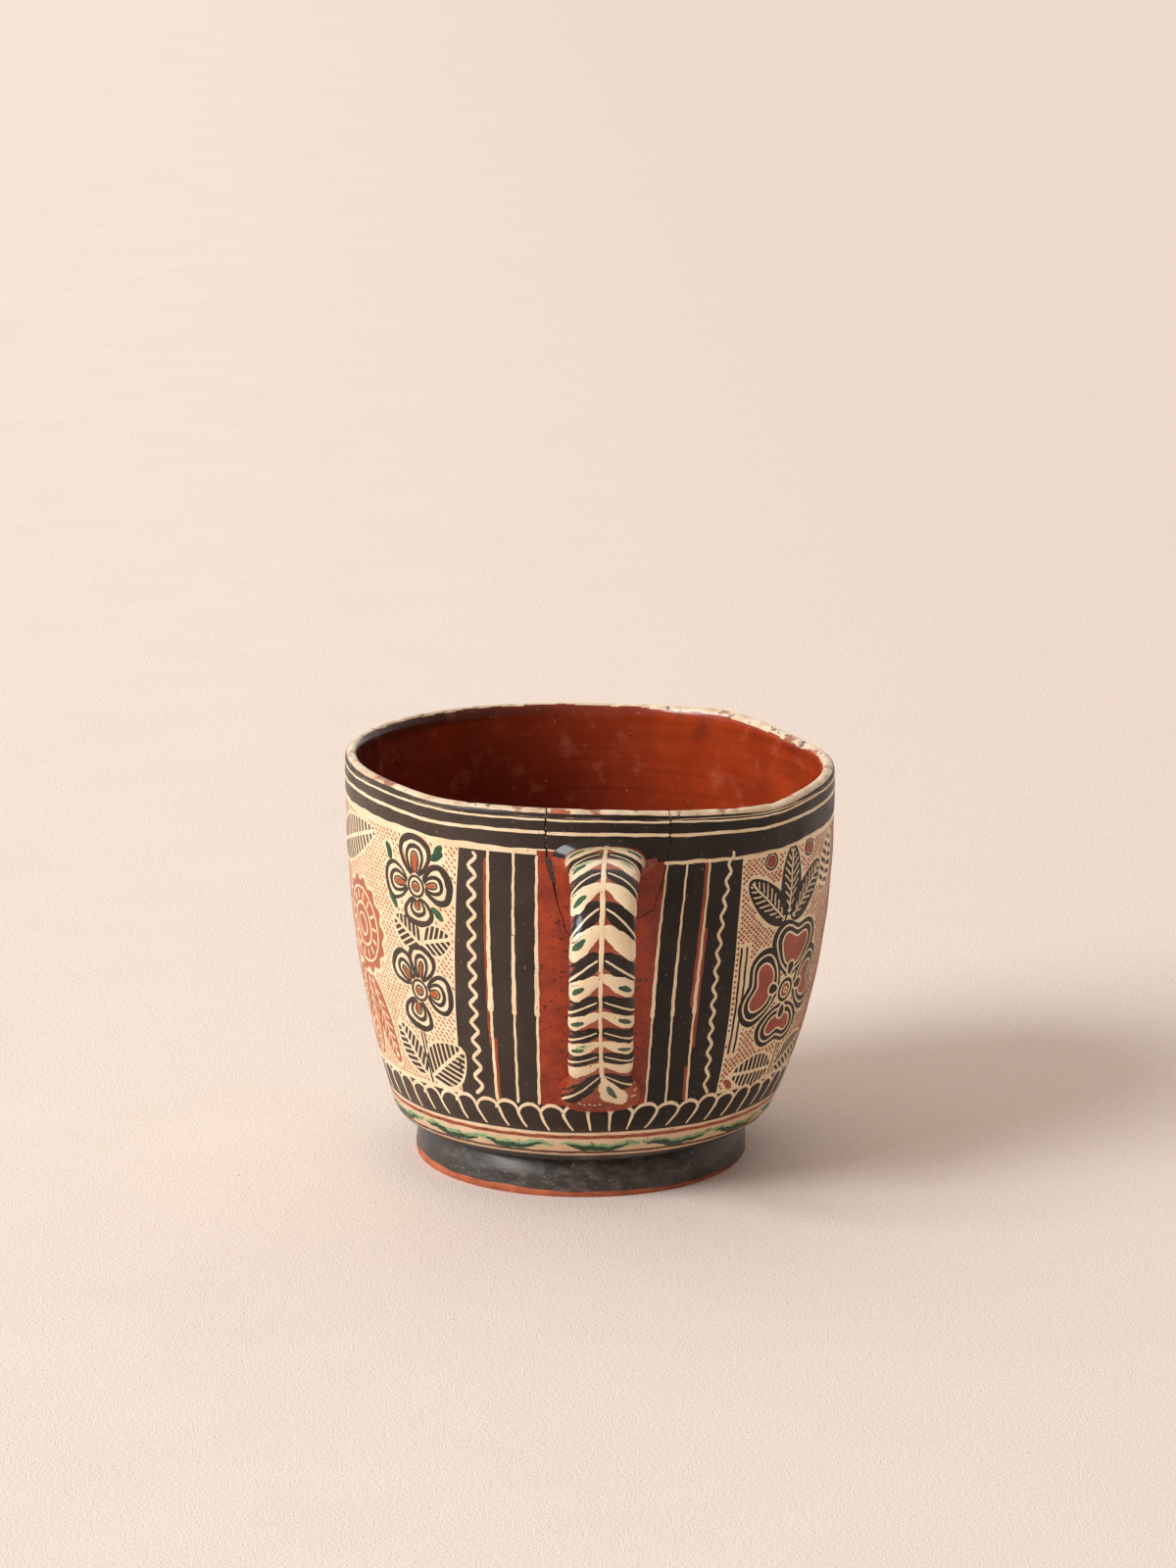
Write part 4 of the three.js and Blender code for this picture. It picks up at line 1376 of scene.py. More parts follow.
# %% Red panel
# The red panel's slip carries the painted shadow right of the handle.
panel_red = Coat("handle_panel_red", panel_slip, "red_slip")
flake = Coat("crack_flake", dark_crack_clay, "clay")
PANEL_TOP = 76.0
PANEL_LIFT = FIRST_LIFT - 0.01  # a little under the bars, whose edges lie over it
FLAKE_LIFT = 0.012
heights = np.linspace(BAR_FOOT, PANEL_TOP, 30)
panel = np.concatenate([
    np.stack([left_inner(heights), heights], 1),
    np.stack([right_edge(heights[::-1]), heights[::-1]], 1),
])
low_crack = crack_strip[crack_strip[:, 1] < PANEL_TOP + 3]
fill(panel_red, WALL, panel, PANEL_LIFT, [low_crack])
FLAKE = [
    (-13.1, 75.3), (-12.0, 74.2), (-11.2, 71.6), (-11.2, 69.8),
    (-11.9, 69.6), (-12.9, 72.2), (-13.5, 74.2),
]
# The flake is laid in near-black clay.
fill(flake, WALL, FLAKE, FLAKE_LIFT)

GLUE_TOP = 83.0
GLUE_DEPTH = (-0.45, -2.2)  # the joint's filling lies between these two depths, so no light shows through
GLUE_OVERLAP = 0.25
in_wall = sherd_side[:, 1] < GLUE_TOP
apart = (sherd_side - bowl_side)[in_wall] * (CRACK_DEGREE, 1)
aside = apart / np.linalg.norm(apart, axis=1)[:, None] * GLUE_OVERLAP / (CRACK_DEGREE, 1)
glue = Coat("crack_glue", dark_crack_clay, "clay")
joint = np.concatenate([sherd_side[in_wall] + aside, (bowl_side[in_wall] - aside)[::-1]])
fill(glue, WALL, joint, GLUE_DEPTH[0], sink=GLUE_DEPTH[1])
print("red panel", round(float(right_edge(50) - left_inner(50)), 1), "degrees wide")

# %% [markdown]
# ## Scallops and base lines
# A row of black tongues stands above the foot, each under a cream arch, and thin rings close the painting.
# One tongue could be copied round the cup, but copies look printed. A loop goes round instead and draws
# each arch and leg with small changes, so that no two are alike.

# %% Scallops and base lines
base_black = Coat("scallop_black", black_slip, "black_slip")
base_cream = Coat("scallop_cream", cream_slip, "cream_slip")
base_red = Coat("base_red_line", red_slip, "red_slip")
base_dark_red = Coat("base_dark_line", dark_red_slip, "red_slip")
base_wash = Coat("base_green_wash", pale_green_slip, "green_slip")
base_green = Coat("base_green_strokes", dark_green_slip, "green_slip")
SCALLOPS = 57
SCALLOP_TOP = 22.2
SCALLOP_LOW = 15.9
SCALLOP_SLANT = 2.6  # degrees by which the legs lean away from the handle
ARCH_RISE = 2.0
ARCH_FOOT = 2.3  # how far below its top an arch begins
LEG_TOP = 1.7  # how far below that top a leg begins

whole_turn = np.linspace(-180, 180, 241)[:-1]
band(base_black, WALL, -180, 180, lambda a: SCALLOP_LOW + 0.08 * np.sin(a / 7), LINE_FOOT, SECOND_LIFT, 1.5)
for index in range(SCALLOPS):
    middle = -180 + (index + 0.5) * 360 / SCALLOPS + hand.uniform(-0.5, 0.5)
    reach = 180 / SCALLOPS * hand.uniform(0.97, 1.06)
    top = SCALLOP_TOP + hand.uniform(-0.25, 0.35)
    turn = np.linspace(math.pi, 0, 15)
    arch = np.stack([middle + reach * np.cos(turn), top - ARCH_FOOT + ARCH_RISE * np.sin(turn)], 1)
    brush(base_cream, WALL, arch, lambda t: 0.66 + 0.28 * math.sin(math.pi * t), THIRD_LIFT, shaky=0.03)
    away = min(1.0, abs(middle) / 12)
    slant = (SCALLOP_SLANT if middle < 0 else -SCALLOP_SLANT) * away + hand.uniform(-0.4, 0.4)
    fall = np.linspace(0, 1, 9)
    bottom = hand.uniform(16.1, 16.8)
    leg_height = top - LEG_TOP + (bottom - top + LEG_TOP) * fall
    leg = np.stack([middle + reach + slant * fall ** 1.6, leg_height], 1)
    brush(base_cream, WALL, leg, lambda t: 0.88 - 0.44 * t, THIRD_LIFT, shaky=0.03)
BASE_RINGS = ((base_red, 14.75, 0.06, 9, 0.9), (base_dark_red, 11.15, 0.05, 8, 0.5))
for coat, height, swing, pace, width in BASE_RINGS:
    ring = np.stack([whole_turn, height + swing * np.sin(whole_turn / pace)], 1)
    brush(coat, WALL, ring, width, SECOND_LIFT, closed=True)

GREEN_STROKES = 15
GREEN_HEIGHT = 12.7
for number in range(GREEN_STROKES):
    start = -178 + number * 360 / GREEN_STROKES + hand.uniform(-1, 1)
    length = hand.uniform(22.5, 25.5)
    share = np.linspace(0, 1, 30)
    wander = 0.5 * np.sin(2 * math.pi * share * hand.uniform(0.8, 1.2) + hand.uniform(0, 2))
    path = np.stack([start + length * share, GREEN_HEIGHT + wander], 1)
    brush(base_wash, WALL, path, lambda t: 0.4 + 1.5 * math.sin(math.pi * t) ** 0.7, SECOND_LIFT, shaky=0.2)
    brush(base_green, WALL, path[2:26] - (0, 0.25),
          lambda t: 0.35 + 1.1 * math.sin(math.pi * t ** 0.8), THIRD_LIFT, shaky=0.18)

foot_coat = Coat("foot_black_coat", foot_black, "black_slip")
FOOT_LIFT = 0.10
CREASE_LIFT = 0.06  # the black runs on over the crease between foot and bowl
CREASE_GAP = 0.02
CREASE_TOP = 10.25


def worn_edge(angle):
    """Lower edge of the black on the foot: rubbed higher on the left than on the right."""
    turn = np.radians(angle)
    return 1.25 - 0.65 * np.sin(turn - 0.2) + 0.12 * np.sin(9 * turn) + 0.09 * np.sin(23 * turn + 1)


def crease_edge(angle):
    """Upper edge of the black, where it ends on the bowl."""
    return CREASE_TOP + 0.05 * np.sin(angle / 5)


band(foot_coat, FOOT, -180, 180, worn_edge, FOOT_HEIGHT - CREASE_GAP, FOOT_LIFT, 1.0)
band(foot_coat, WALL, -180, 180, FOOT_HEIGHT + CREASE_GAP, crease_edge, CREASE_LIFT, 1.0)
print(SCALLOPS, "scallops,", GREEN_STROKES, "green strokes, black coat on the foot")

# %% [markdown]
# ## Flowers and leaves
# The side panels carry four-petalled flowers, hatched leaves and fronds in black with red hearts.
# Drawn point by point, each would be a picture of its own. As functions in millimetres about a spot on
# the wall, they can be drawn many times with other petals. What a motif covers is noted,
# because the fine ground pattern later has to keep clear of it.

# %% Motif helpers
kept_clear = []


class Spot:
    """A place on the wall with its own millimetres: x to the right and y up, turned by some degrees."""

    def __init__(self, angle, height, turn=0.0):
        self.angle = angle
        self.height = height
        self.turn = math.radians(turn)

    def at(self, x, y):
        x, y = np.asarray(x, float), np.asarray(y, float)
        right = x * math.cos(self.turn) - y * math.sin(self.turn)
        up = x * math.sin(self.turn) + y * math.cos(self.turn)
        return np.stack([self.angle + right / wall_degree(self.height), self.height + up], -1)


def keep_clear(places):
    """Notes an outline that the ground pattern stays out of."""
    kept_clear.append(np.asarray(places, float))


def full_turn(count):
    """Angles once round, in radians."""
    return np.linspace(0, 2 * math.pi, count + 1)[:-1]


def egg(base, reach, half_width, full=0.25, notch=0.0, turns=(0.0, 2 * math.pi), count=44):
    """An egg-shaped outline along x, fuller at its far end, which may be notched like a heart."""
    turn = np.linspace(*turns, count)
    y = half_width * np.sin(turn) * (1 + full * np.cos(turn))
    x = (base + reach) / 2 + (reach - base) / 2 * np.cos(turn)
    x = x - notch * np.exp(-(y / (0.42 * half_width)) ** 2) * np.clip(np.cos(turn), 0, 1)
    return x, y


def seed(spot, base, reach, half_width, full=0.25, count=44):
    """An egg on the wall, as an outline to fill."""
    x, y = egg(base, reach, half_width, full, count=count)
    return spot.at(x[:-1], y[:-1])


def lobe(base, reach, spread, notch, inset=0.0, count=72):
    """A broad petal between two rays from the centre, notched at its far end and drawn in by an inset."""
    turn = full_turn(count)
    middle, half = (base + reach) / 2, (reach - base) / 2 - inset
    side = (math.radians(spread) - inset / middle) * fuller(np.sin(turn), 0.75)
    away = middle + half * fuller(np.cos(turn), 0.75)
    away = away - notch * np.exp(-(side / (0.3 * math.radians(spread))) ** 2) * np.clip(np.cos(turn), 0, 1)
    return away * np.cos(side), away * np.sin(side)


def circle(spot, radius, count=40):
    """A ring of places about a spot."""
    turn = full_turn(count)
    return spot.at(radius * np.cos(turn), radius * np.sin(turn))


def toward(start, end):
    """A spot at the start, turned to face the end, and the distance between them."""
    scale = float(wall_degree((start[1] + end[1]) / 2))
    across, up = (end[0] - start[0]) * scale, end[1] - start[1]
    return Spot(start[0], start[1], math.degrees(math.atan2(up, across))), math.hypot(across, up)


print("one degree round the middle of the wall is", round(float(wall_degree(LIP_TOP / 2)), 2), "mm")

# %% [markdown]
# ### Flowers
# The ring flower's petals are nested brush lines round a red core, and the heart flower's are notched lobes
# in three layers, black, cream and red. Each layer of slip lies a hair higher than the one before,
# as on the cup, so no two surfaces fight for the same place.

# %% Flowers
PETAL_TURNS = (-math.pi + 0.30, math.pi - 0.30)  # a petal's rings stay open towards the centre
RING_PITCH = 1.15
CORE_PITCH = 1.1
HEART_LINES = ((1.15, 0.55), (2.6, 0.55))  # inset and width of the cream lines in a lobe
HEART_CORE = 2.75


def ring_flower(coat, core, angle, height, petals, centre=2.4):
    """A flower of ringed petals. Petals are (direction, reach, half width, outer line)."""
    spot = Spot(angle, height)
    base = centre - 0.1
    for number, (direction, reach, half, outer) in enumerate(petals):
        petal = Spot(angle, height, direction)
        path = petal.at(*egg(base, reach - outer / 2, half - outer / 2, turns=PETAL_TURNS))
        if number == 0:
            brush(core, WALL, path + (0.3, 0.3), outer * 0.8, FIRST_LIFT)
        brush(coat, WALL, path, lambda t: outer * (0.75 + 0.6 * math.sin(math.pi * t) ** 2), SECOND_LIFT)
        inset = outer + RING_PITCH
        path = petal.at(*egg(base + 0.2, reach - inset, half - inset, turns=PETAL_TURNS))
        brush(coat, WALL, path, lambda t: 0.60 + 0.45 * math.sin(math.pi * t), SECOND_LIFT)
        tip, side = reach - inset - CORE_PITCH, max(half - inset - CORE_PITCH, 0.62)
        path = petal.at(*egg(base + 0.4, tip, side, turns=PETAL_TURNS))
        brush(coat, WALL, path, 0.42, SECOND_LIFT, shaky=0.02)
        fill(core, WALL, seed(petal, base + 0.5, tip - 0.35, side - 0.26, count=20), SECOND_LIFT)
        keep_clear(petal.at(*egg(base - 1.2, reach + 0.3, half + 0.3)))
    brush(coat, WALL, circle(spot, centre - 0.3), 0.7, SECOND_LIFT, closed=True, shaky=0.02)
    brush(coat, WALL, circle(spot, 1.05, 16), 0.5, SECOND_LIFT, closed=True, shaky=0.02)
    fill(core, WALL, circle(spot, 0.66, 12), THIRD_LIFT)
    keep_clear(circle(spot, centre + 0.7))


def heart_flower(black, cream, core, angle, height, petals, centre=3.0):
    """A large flower of notched petals. Petals are (direction, reach, spread, notch)."""
    spot = Spot(angle, height)
    base = centre - 0.2
    for direction, reach, spread, notch in petals:
        petal = Spot(angle, height, direction)
        fill(black, WALL, petal.at(*lobe(base, reach, spread, notch)), SECOND_LIFT)
        for inset, width in HEART_LINES:
            path = petal.at(*lobe(base, reach, spread, notch, inset))
            brush(cream, WALL, path, width, THIRD_LIFT, closed=True, shaky=0.03)
        fill(core, WALL, petal.at(*lobe(base, reach, spread, notch, HEART_CORE)), THIRD_LIFT - 0.01)
        stamen = seed(petal, base + 0.2, base + 3.5, 1.25)
        fill(black, WALL, stamen, TOP_LIFT)
        brush(cream, WALL, stamen, 0.6, TOP_LIFT + 0.03, closed=True, shaky=0.02)
        for side in (-1, 1):
            dot = petal.at([reach - 4.6, reach - 4.3], [side * 1.3, side * 1.4])
            brush(cream, WALL, dot, 0.4, TOP_LIFT, shaky=0.0)
        keep_clear(petal.at(*lobe(base - 1.0, reach + 0.6, spread + 3, notch)))
    fill(cream, WALL, circle(spot, centre), SECOND_LIFT + 0.02)
    fill(black, WALL, circle(spot, centre - 0.4), THIRD_LIFT)
    brush(cream, WALL, circle(spot, centre - 1.35), 0.55, TOP_LIFT, closed=True, shaky=0.03)
    fill(core, WALL, circle(spot, 1.25, 16), TOP_LIFT)
    brush(cream, WALL, circle(spot, 0.6, 14), 0.45, TOP_LIFT + 0.02, closed=True, shaky=0.02)
    keep_clear(circle(spot, centre + 0.9))


print("a ring flower and a heart flower are ready")

# %% [markdown]
# ### Leaves and stems
# The leaves are hatched: short black bars slant away from a bare rib. A striped texture would be cut off
# at the leaf's edge, while a painter ends each bar there, so every bar is as long as the leaf is wide.

# %% Leaves and stems
Hatch = namedtuple("Hatch", "bar gap slant")
FINE = Hatch(0.90, 0.50, 0.60)
UPRIGHT = Hatch(0.84, 0.48, 0.1)
COARSE = Hatch(0.9, 0.9, 0.15)
LEAF_RIB = 0.8
LEAF_HALO = 0.65  # bare cream kept round a leaf
HALO_LIFT = FIRST_LIFT + 0.012


def hatched_leaf(coat, cream, start, end, half_width, hatch=FINE):
    """A leaf of black bars on both sides of a bare rib, from its stalk to its tip, with a cream rim."""
    spot, length = toward(start, end)

    def half_at(x):
        return half_width * np.sin(math.pi * np.clip(x / length, 0, 1) ** 0.8) ** 0.75

    x = np.linspace(0, length, 24)
    edge = half_at(x) + LEAF_HALO
    rim = spot.at(np.concatenate([x, x[::-1]]), np.concatenate([edge, -edge[::-1]]))
    fill(cream, WALL, rim, HALO_LIFT)
    keep_clear(rim)
    reaches = np.arange(0, 2 * half_width, 0.05)
    for side in (-1, 1):
        for foot_x in np.arange(0.3, length - 0.5, hatch.bar + hatch.gap):
            ends = []
            for x in (foot_x, foot_x + hatch.bar):
                within = LEAF_RIB / 2 + reaches < half_at(x + hatch.slant * reaches)
                ends.append(max(0.15, reaches[np.argmin(within)]))
            if max(ends) < 0.4:
                continue
            bar_x = [foot_x, foot_x + hatch.bar, foot_x + hatch.bar + hatch.slant * ends[1],
                     foot_x + hatch.slant * ends[0]]
            bar_y = np.array([0, 0, ends[1], ends[0]]) + LEAF_RIB / 2
            fill(coat, WALL, spot.at(bar_x, side * bar_y), SECOND_LIFT)


def stem(coat, cream, start, end, width=0.6):
    """A dark stalk with bare ground on both sides, and a shorter line beside its upper end."""
    spot, length = toward(start, end)
    half = width / 2 + 0.5
    rim = spot.at([0, length, length, 0], [-half, -half, half, half])
    fill(cream, WALL, rim, HALO_LIFT)
    keep_clear(rim)
    brush(coat, WALL, spot.at(np.linspace(0, length, 8), np.zeros(8)), width, SECOND_LIFT)
    brush(coat, WALL, spot.at(np.linspace(0, length * 0.35, 4), np.full(4, 0.85)), width * 0.7, SECOND_LIFT)


def dab(coat, angle, height, turn, length, width, lift=THIRD_LIFT):
    """One short touch of a full brush."""
    spot = Spot(angle, height, turn)
    path = spot.at(np.linspace(-length / 2, length / 2, 7), [0, 0.1, 0.15, 0.1, 0, -0.05, 0])
    brush(coat, WALL, path, lambda t: width * (0.55 + 0.45 * math.sin(math.pi * t)), lift)
    half_length, half_width = length / 2 + 0.4, width / 2 + 0.4
    keep_clear(spot.at(np.array([-1, 1, 1, -1]) * half_length, np.array([-1, -1, 1, 1]) * half_width))


print("leaf hatchings of", [hatch.bar for hatch in (FINE, UPRIGHT, COARSE)], "mm bars")

# %% [markdown]
# ### Left panel
# Left of the bars two ring flowers stand one over the other, with green dabs and hatched leaves between.
# The column is a function of one angle, because the back of the cup repeats it.

# %% Left panel
left_black = Coat("left_panel_black", black_slip, "black_slip")
left_heart = Coat("left_panel_red", thin_red_slip, "red_slip")
left_green = Coat("left_panel_green", dark_green_slip, "green_slip")
left_lines = Coat("left_panel_cream", cream_slip, "cream_slip")


def flower_column(black, cream, core, green, angle):
    """Two ring flowers, a pair of leaves between them and a leafy stem below."""
    upper = [(92, 10.8, 4.5, 1.25), (12, 9.6, 4.4, 1.5), (179, 9.6, 4.0, 0.9), (-88, 8.3, 4.2, 1.2)]
    ring_flower(black, core, angle, 65.0, upper)
    dabs = ((-9.4, 70.6, -60), (6.6, 72.2, 30), (7.0, 73.2, 65), (-8.5, 60.6, -50), (6.2, 60.2, -35))
    for shift, height, turn in dabs:
        dab(green, angle + shift, height, turn, 3.6, 1.9)
    hatched_leaf(black, cream, (angle + 0.4, 53.0), (angle - 8.6, 57.4), 3.3)
    hatched_leaf(black, cream, (angle + 1.4, 53.6), (angle + 9.9, 55.6), 3.1)
    lower = [(78, 9.9, 3.8, 1.1), (137, 9.6, 3.8, 1.1), (0, 9.0, 4.3, 1.1), (-104, 8.9, 4.3, 1.2)]
    ring_flower(black, core, angle - 1.7, 42.9, lower)
    hatched_leaf(black, cream, (angle - 3.8, 24.4), (angle - 12.6, 34.6), 3.2)
    hatched_leaf(black, cream, (angle - 1.6, 24.4), (angle + 10.2, 32.0), 4.6)
    stem(black, cream, (angle - 3.4, 34.0), (angle - 1.9, 22.8))


flower_column(left_black, left_lines, left_heart, left_green, -47.4)
hatched_leaf(left_black, left_lines, (-94.0, 65.0), (-62.5, 73.4), 4.4, COARSE)
print("left panel: a column of two flowers")

# %% [markdown]
# ### Rosette
# Beside the column stands a round terracotta flower over three leaves. Its rays and veins could be cut
# out of the red. Drawn over it in cream they look the same and take less work.

# %% A terracotta rosette and its leaves
LEAF_TAPER = -0.15  # broad leaves are fuller near the stalk
LEAF_MARGIN = 0.7


def rosette(core, cream, angle, height, radius, rays):
    """A round red flower with cream rays and rings scratched through it."""
    spot = Spot(angle, height)
    turn = full_turn(96)
    lobes = radius * (1 + 0.06 * np.cos(rays * turn))
    fill(core, WALL, spot.at(lobes * np.cos(turn), lobes * np.sin(turn)), FIRST_LIFT)
    for share, width in ((0.80, 0.6), (0.46, 0.7), (0.24, 0.6)):
        brush(cream, WALL, circle(spot, radius * share), width, SECOND_LIFT, closed=True)
    for number in range(rays):
        ray = Spot(angle, height, number * 360 / rays)
        brush(cream, WALL, ray.at([radius * 0.53, radius * 0.73], [0, 0]), 0.7, SECOND_LIFT)
    keep_clear(spot.at((lobes + 0.8) * np.cos(turn), (lobes + 0.8) * np.sin(turn)))


def broad_leaf(core, cream, start, end, half_width, veins):
    """A leaf of one colour with a cream rib and veins."""
    spot, length = toward(start, end)
    fill(core, WALL, seed(spot, 0, length, half_width, LEAF_TAPER), FIRST_LIFT)
    brush(cream, WALL, spot.at(np.linspace(0.5, length * 0.95, 10), np.zeros(10)), 0.55, SECOND_LIFT)
    for side in (-1, 1):
        for number in range(veins):
            t = (number + 0.6) / (veins + 0.4)
            reach = half_width * math.sin(math.pi * t) * 0.72
            path = spot.at([length * t - 0.3, length * t + reach * 0.7], [side * 0.4, side * reach])
            brush(cream, WALL, path, 0.42, SECOND_LIFT)
    keep_clear(seed(spot, -LEAF_MARGIN, length + LEAF_MARGIN, half_width + LEAF_MARGIN, LEAF_TAPER))


rosette(left_heart, left_lines, -73.5, 52.0, 9.6, 14)
broad_leaf(left_heart, left_lines, (-72.5, 41.5), (-63.5, 24.5), 3.3, 8)
broad_leaf(left_heart, left_lines, (-74.5, 41.5), (-76.0, 24.0), 3.4, 8)
broad_leaf(left_heart, left_lines, (-77.0, 42.5), (-89.0, 27.0), 3.6, 8)
print("a rosette with three leaves")

# %% [markdown]
# ### Right panel
# Right of the bars a heart flower stands on its stem under three dark leaves and two berries.
# They are functions of one angle too, so the back can have them again.

# %% Right panel
right_black = Coat("right_panel_black", black_slip, "black_slip")
right_heart = Coat("right_panel_red", red_slip, "red_slip")
right_lines = Coat("right_panel_cream", cream_slip, "cream_slip")


def flower_with_leaves(black, cream, core, angle):
    """A heart flower on a stem between two leaves."""
    petals = [(80, 16.4, 42, 2.3), (165, 14.9, 49, 2.4), (4, 14.0, 43, 2.2), (-92, 13.2, 50, 2.2)]
    heart_flower(black, cream, core, angle, 42.3, petals)
    hatched_leaf(black, cream, (angle + 1.0, 24.9), (angle - 15.6, 25.9), 3.7, UPRIGHT)
    hatched_leaf(black, cream, (angle + 4.2, 24.2), (angle + 18.5, 29.0), 3.4)
    stem(black, cream, (angle + 2.1, 30.0), (angle + 2.3, 22.8))


def trefoil(black, cream, core, angle, height):
    """Three dark veined leaves and two berries on a short stalk."""
    for root, rise, tip, top in ((-1.2, 0.0, -14.5, 10.5), (0.0, 1.0, 0.5, 16.2), (1.2, 0.0, 14.0, 10.0)):
        broad_leaf(black, cream, (angle + root, height + rise), (angle + tip, height + top), 3.5, 9)
    for shift in (-7.6, 8.0):
        berry = Spot(angle + shift, height + 14.0)
        fill(core, WALL, circle(berry, 1.3, 20), SECOND_LIFT)
        brush(black, WALL, circle(berry, 1.75, 22), 0.5, SECOND_LIFT, closed=True, shaky=0.02)
        keep_clear(circle(berry, 2.4))


flower_with_leaves(right_black, right_lines, right_heart, 52.9)
trefoil(right_black, right_lines, right_heart, 51.0, 58.0)
hatched_leaf(right_black, right_lines, (67.5, 60.5), (73.0, 73.0), 3.4, COARSE)
for shift in (0.0, 1.75):
    upright(right_black, lambda z: 34.9 + shift + 0 * z, 31.0, 54.5, 0.6, SECOND_LIFT)
keep_clear([(34.0, 30.4), (37.8, 30.4), (37.8, 55.0), (34.0, 55.0)])
dab(right_heart, 37.2, 23.8, -40, 3.4, 1.7, SECOND_LIFT)
print("right panel: a heart flower under three leaves")

# %% [markdown]
# ## Round the back
# The far side doesn't show in the photograph. A painter would carry the same motifs round,
# so the same functions draw them at other angles, with a narrow bar where the two panels meet.

# %% Back of the cup
back_black = Coat("back_panel_black", black_slip, "black_slip")
back_heart = Coat("back_panel_red", red_slip, "red_slip")
back_lines = Coat("back_panel_cream", cream_slip, "cream_slip")
back_green = Coat("back_panel_green", dark_green_slip, "green_slip")
for angle in (97.0, -113.0):
    flower_column(back_black, back_lines, back_heart, back_green, angle)
for angle in (134.0, -142.0):
    flower_with_leaves(back_black, back_lines, back_heart, angle)
    trefoil(back_black, back_lines, back_heart, angle - 1.0, 58.0)


def frond(black, cream, angle, low, high):
    """An upright stalk with a hatched leaf at its tip and leaves in pairs below."""
    hatched_leaf(black, cream, (angle, high - 8.5), (angle, high), 2.3)
    for height in np.arange(low, high - 16, 9.5):
        for side in (-1, 1):
            tip = (angle + side * 6.0, height + 9.0)
            hatched_leaf(black, cream, (angle + side * 0.8, height), tip, 2.3)
    stalk = [(angle, low - 2.0), (angle + 0.3, (low + high) / 2), (angle, high - 8.5)]
    brush(black, WALL, stalk, 0.6, SECOND_LIFT)


frond(back_black, back_lines, 157.4, 35.0, 72.4)
frond(back_black, back_lines, -165.2, 26.0, 73.4)
BACK_BAR = (164.5, 187.5)
BACK_TOP = 75.0
band(back_black, WALL, *BACK_BAR, BAR_FOOT, BACK_TOP, FIRST_LIFT)
wavy(back_lines, leaning(TWO_LEVELS, [175.6, 176.6]), WAVE_FOOT, BACK_TOP - 0.4, 0.85, 4.1, 0.95)
for angle in (169.5, 182.5):
    reloaded(back_lines, leaning(TWO_LEVELS, [angle - 0.4, angle + 0.4]), LINE_FOOT, BACK_TOP, 0.85)
print("back: two columns, two heart flowers, two fronds and a bar")

# %% [markdown]
# ## The fine red ground pattern
# The panels' ground is filled with thousands of small red cells in crossing rows, like a woven mat.
# A brick texture could stand in for it, but it would run under the flowers. Here every cell is
# a tiny solid, laid only where no motif is in the way. The left has dashes and the right diamonds.

# %% Woven ground
mat_left = Coat("ground_weave_left", thin_red_slip, "red_slip")
mat_right = Coat("ground_weave_right", red_slip, "red_slip")
MAT_LOW = 23.2
MAT_MIDDLE = 50.0
LEFT_MAT_TOP = 75.0
RIGHT_MAT_TOP = 73.2
BORDER = 0.45  # bare ground kept along the bars
CELL_SIZES = (0.85, 1.12)
CELL_FACES = [(0, 1, 2, 3), (7, 6, 5, 4), (0, 4, 5, 1), (1, 5, 6, 2), (2, 6, 7, 3), (3, 7, 4, 0)]
Weave = namedtuple("Weave", "pitch rise corners jitter")
DASHES = Weave(1.24, 0.78, np.array([(-0.35, 0.15), (-0.09, 0.34), (0.35, -0.15), (0.09, -0.34)]), 0.08)
DIAMONDS = Weave(1.28, 0.60, np.array([(-0.42, 0.0), (0.0, -0.35), (0.42, 0.0), (0.0, 0.35)]), 0.05)


def lay_weave(coat, weave, left, right, low, high):
    """Small cells in crossing rows between two upright borders."""
    scale = float(wall_degree(MAT_MIDDLE))
    start = float(min(left(low), left(high)))
    end = float(max(right(low), right(high)))
    places = []
    for number, z in enumerate(np.arange(low, high, weave.rise)):
        shift = (number % 2) * weave.pitch / 2
        across = np.arange(start * scale + shift, end * scale, weave.pitch)
        places.append(np.stack([across / scale, np.full(len(across), z)], 1))
    places = np.concatenate(places)
    jitter = np.array([[hand.uniform(-1, 1), hand.uniform(-1, 1)] for _ in places])
    places = places + jitter * (weave.jitter / scale, weave.jitter)
    margin = BORDER / scale
    keep = (places[:, 0] > left(places[:, 1]) + margin) & (places[:, 0] < right(places[:, 1]) - margin)
    for outline in kept_clear:
        near = keep & (places[:, 0] > outline[:, 0].min()) & (places[:, 0] < outline[:, 0].max())
        near &= (places[:, 1] > outline[:, 1].min()) & (places[:, 1] < outline[:, 1].max())
        keep[near] = ~inside(outline, places[near])
    for angle, z in places[keep]:
        size = hand.uniform(*CELL_SIZES)
        a = angle + weave.corners[:, 0] * size / wall_degree(z)
        b = z + weave.corners[:, 1] * size
        points = on_wall(np.concatenate([a, a]), np.concatenate([b, b]), np.repeat([FIRST_LIFT, SINK], 4))
        coat.add(points, CELL_FACES)
    return int(keep.sum())


# Motifs past the middle of the back also count from the other side.
kept_clear += [outline - (360, 0) for outline in kept_clear if outline[:, 0].max() > 180]
counts = [
    lay_weave(mat_left, DASHES, lambda z: BACK_BAR[1] - 360 + 0 * z, left_edge, MAT_LOW, LEFT_MAT_TOP),
    lay_weave(mat_right, DIAMONDS, right_outer, lambda z: BACK_BAR[0] + 0 * z, MAT_LOW, RIGHT_MAT_TOP),
]
print("cells laid:", counts)

# %% [markdown]
# ## The garland on the handle
# Down the strap hangs a stem with eight pairs of fat cream leaves, a pair of black ones under each,
# and a drop-shaped bud at the end. A flat picture would stretch where the strap curves,
# so the strap's own formula places the strokes and the leaves bend over its rounded edges.

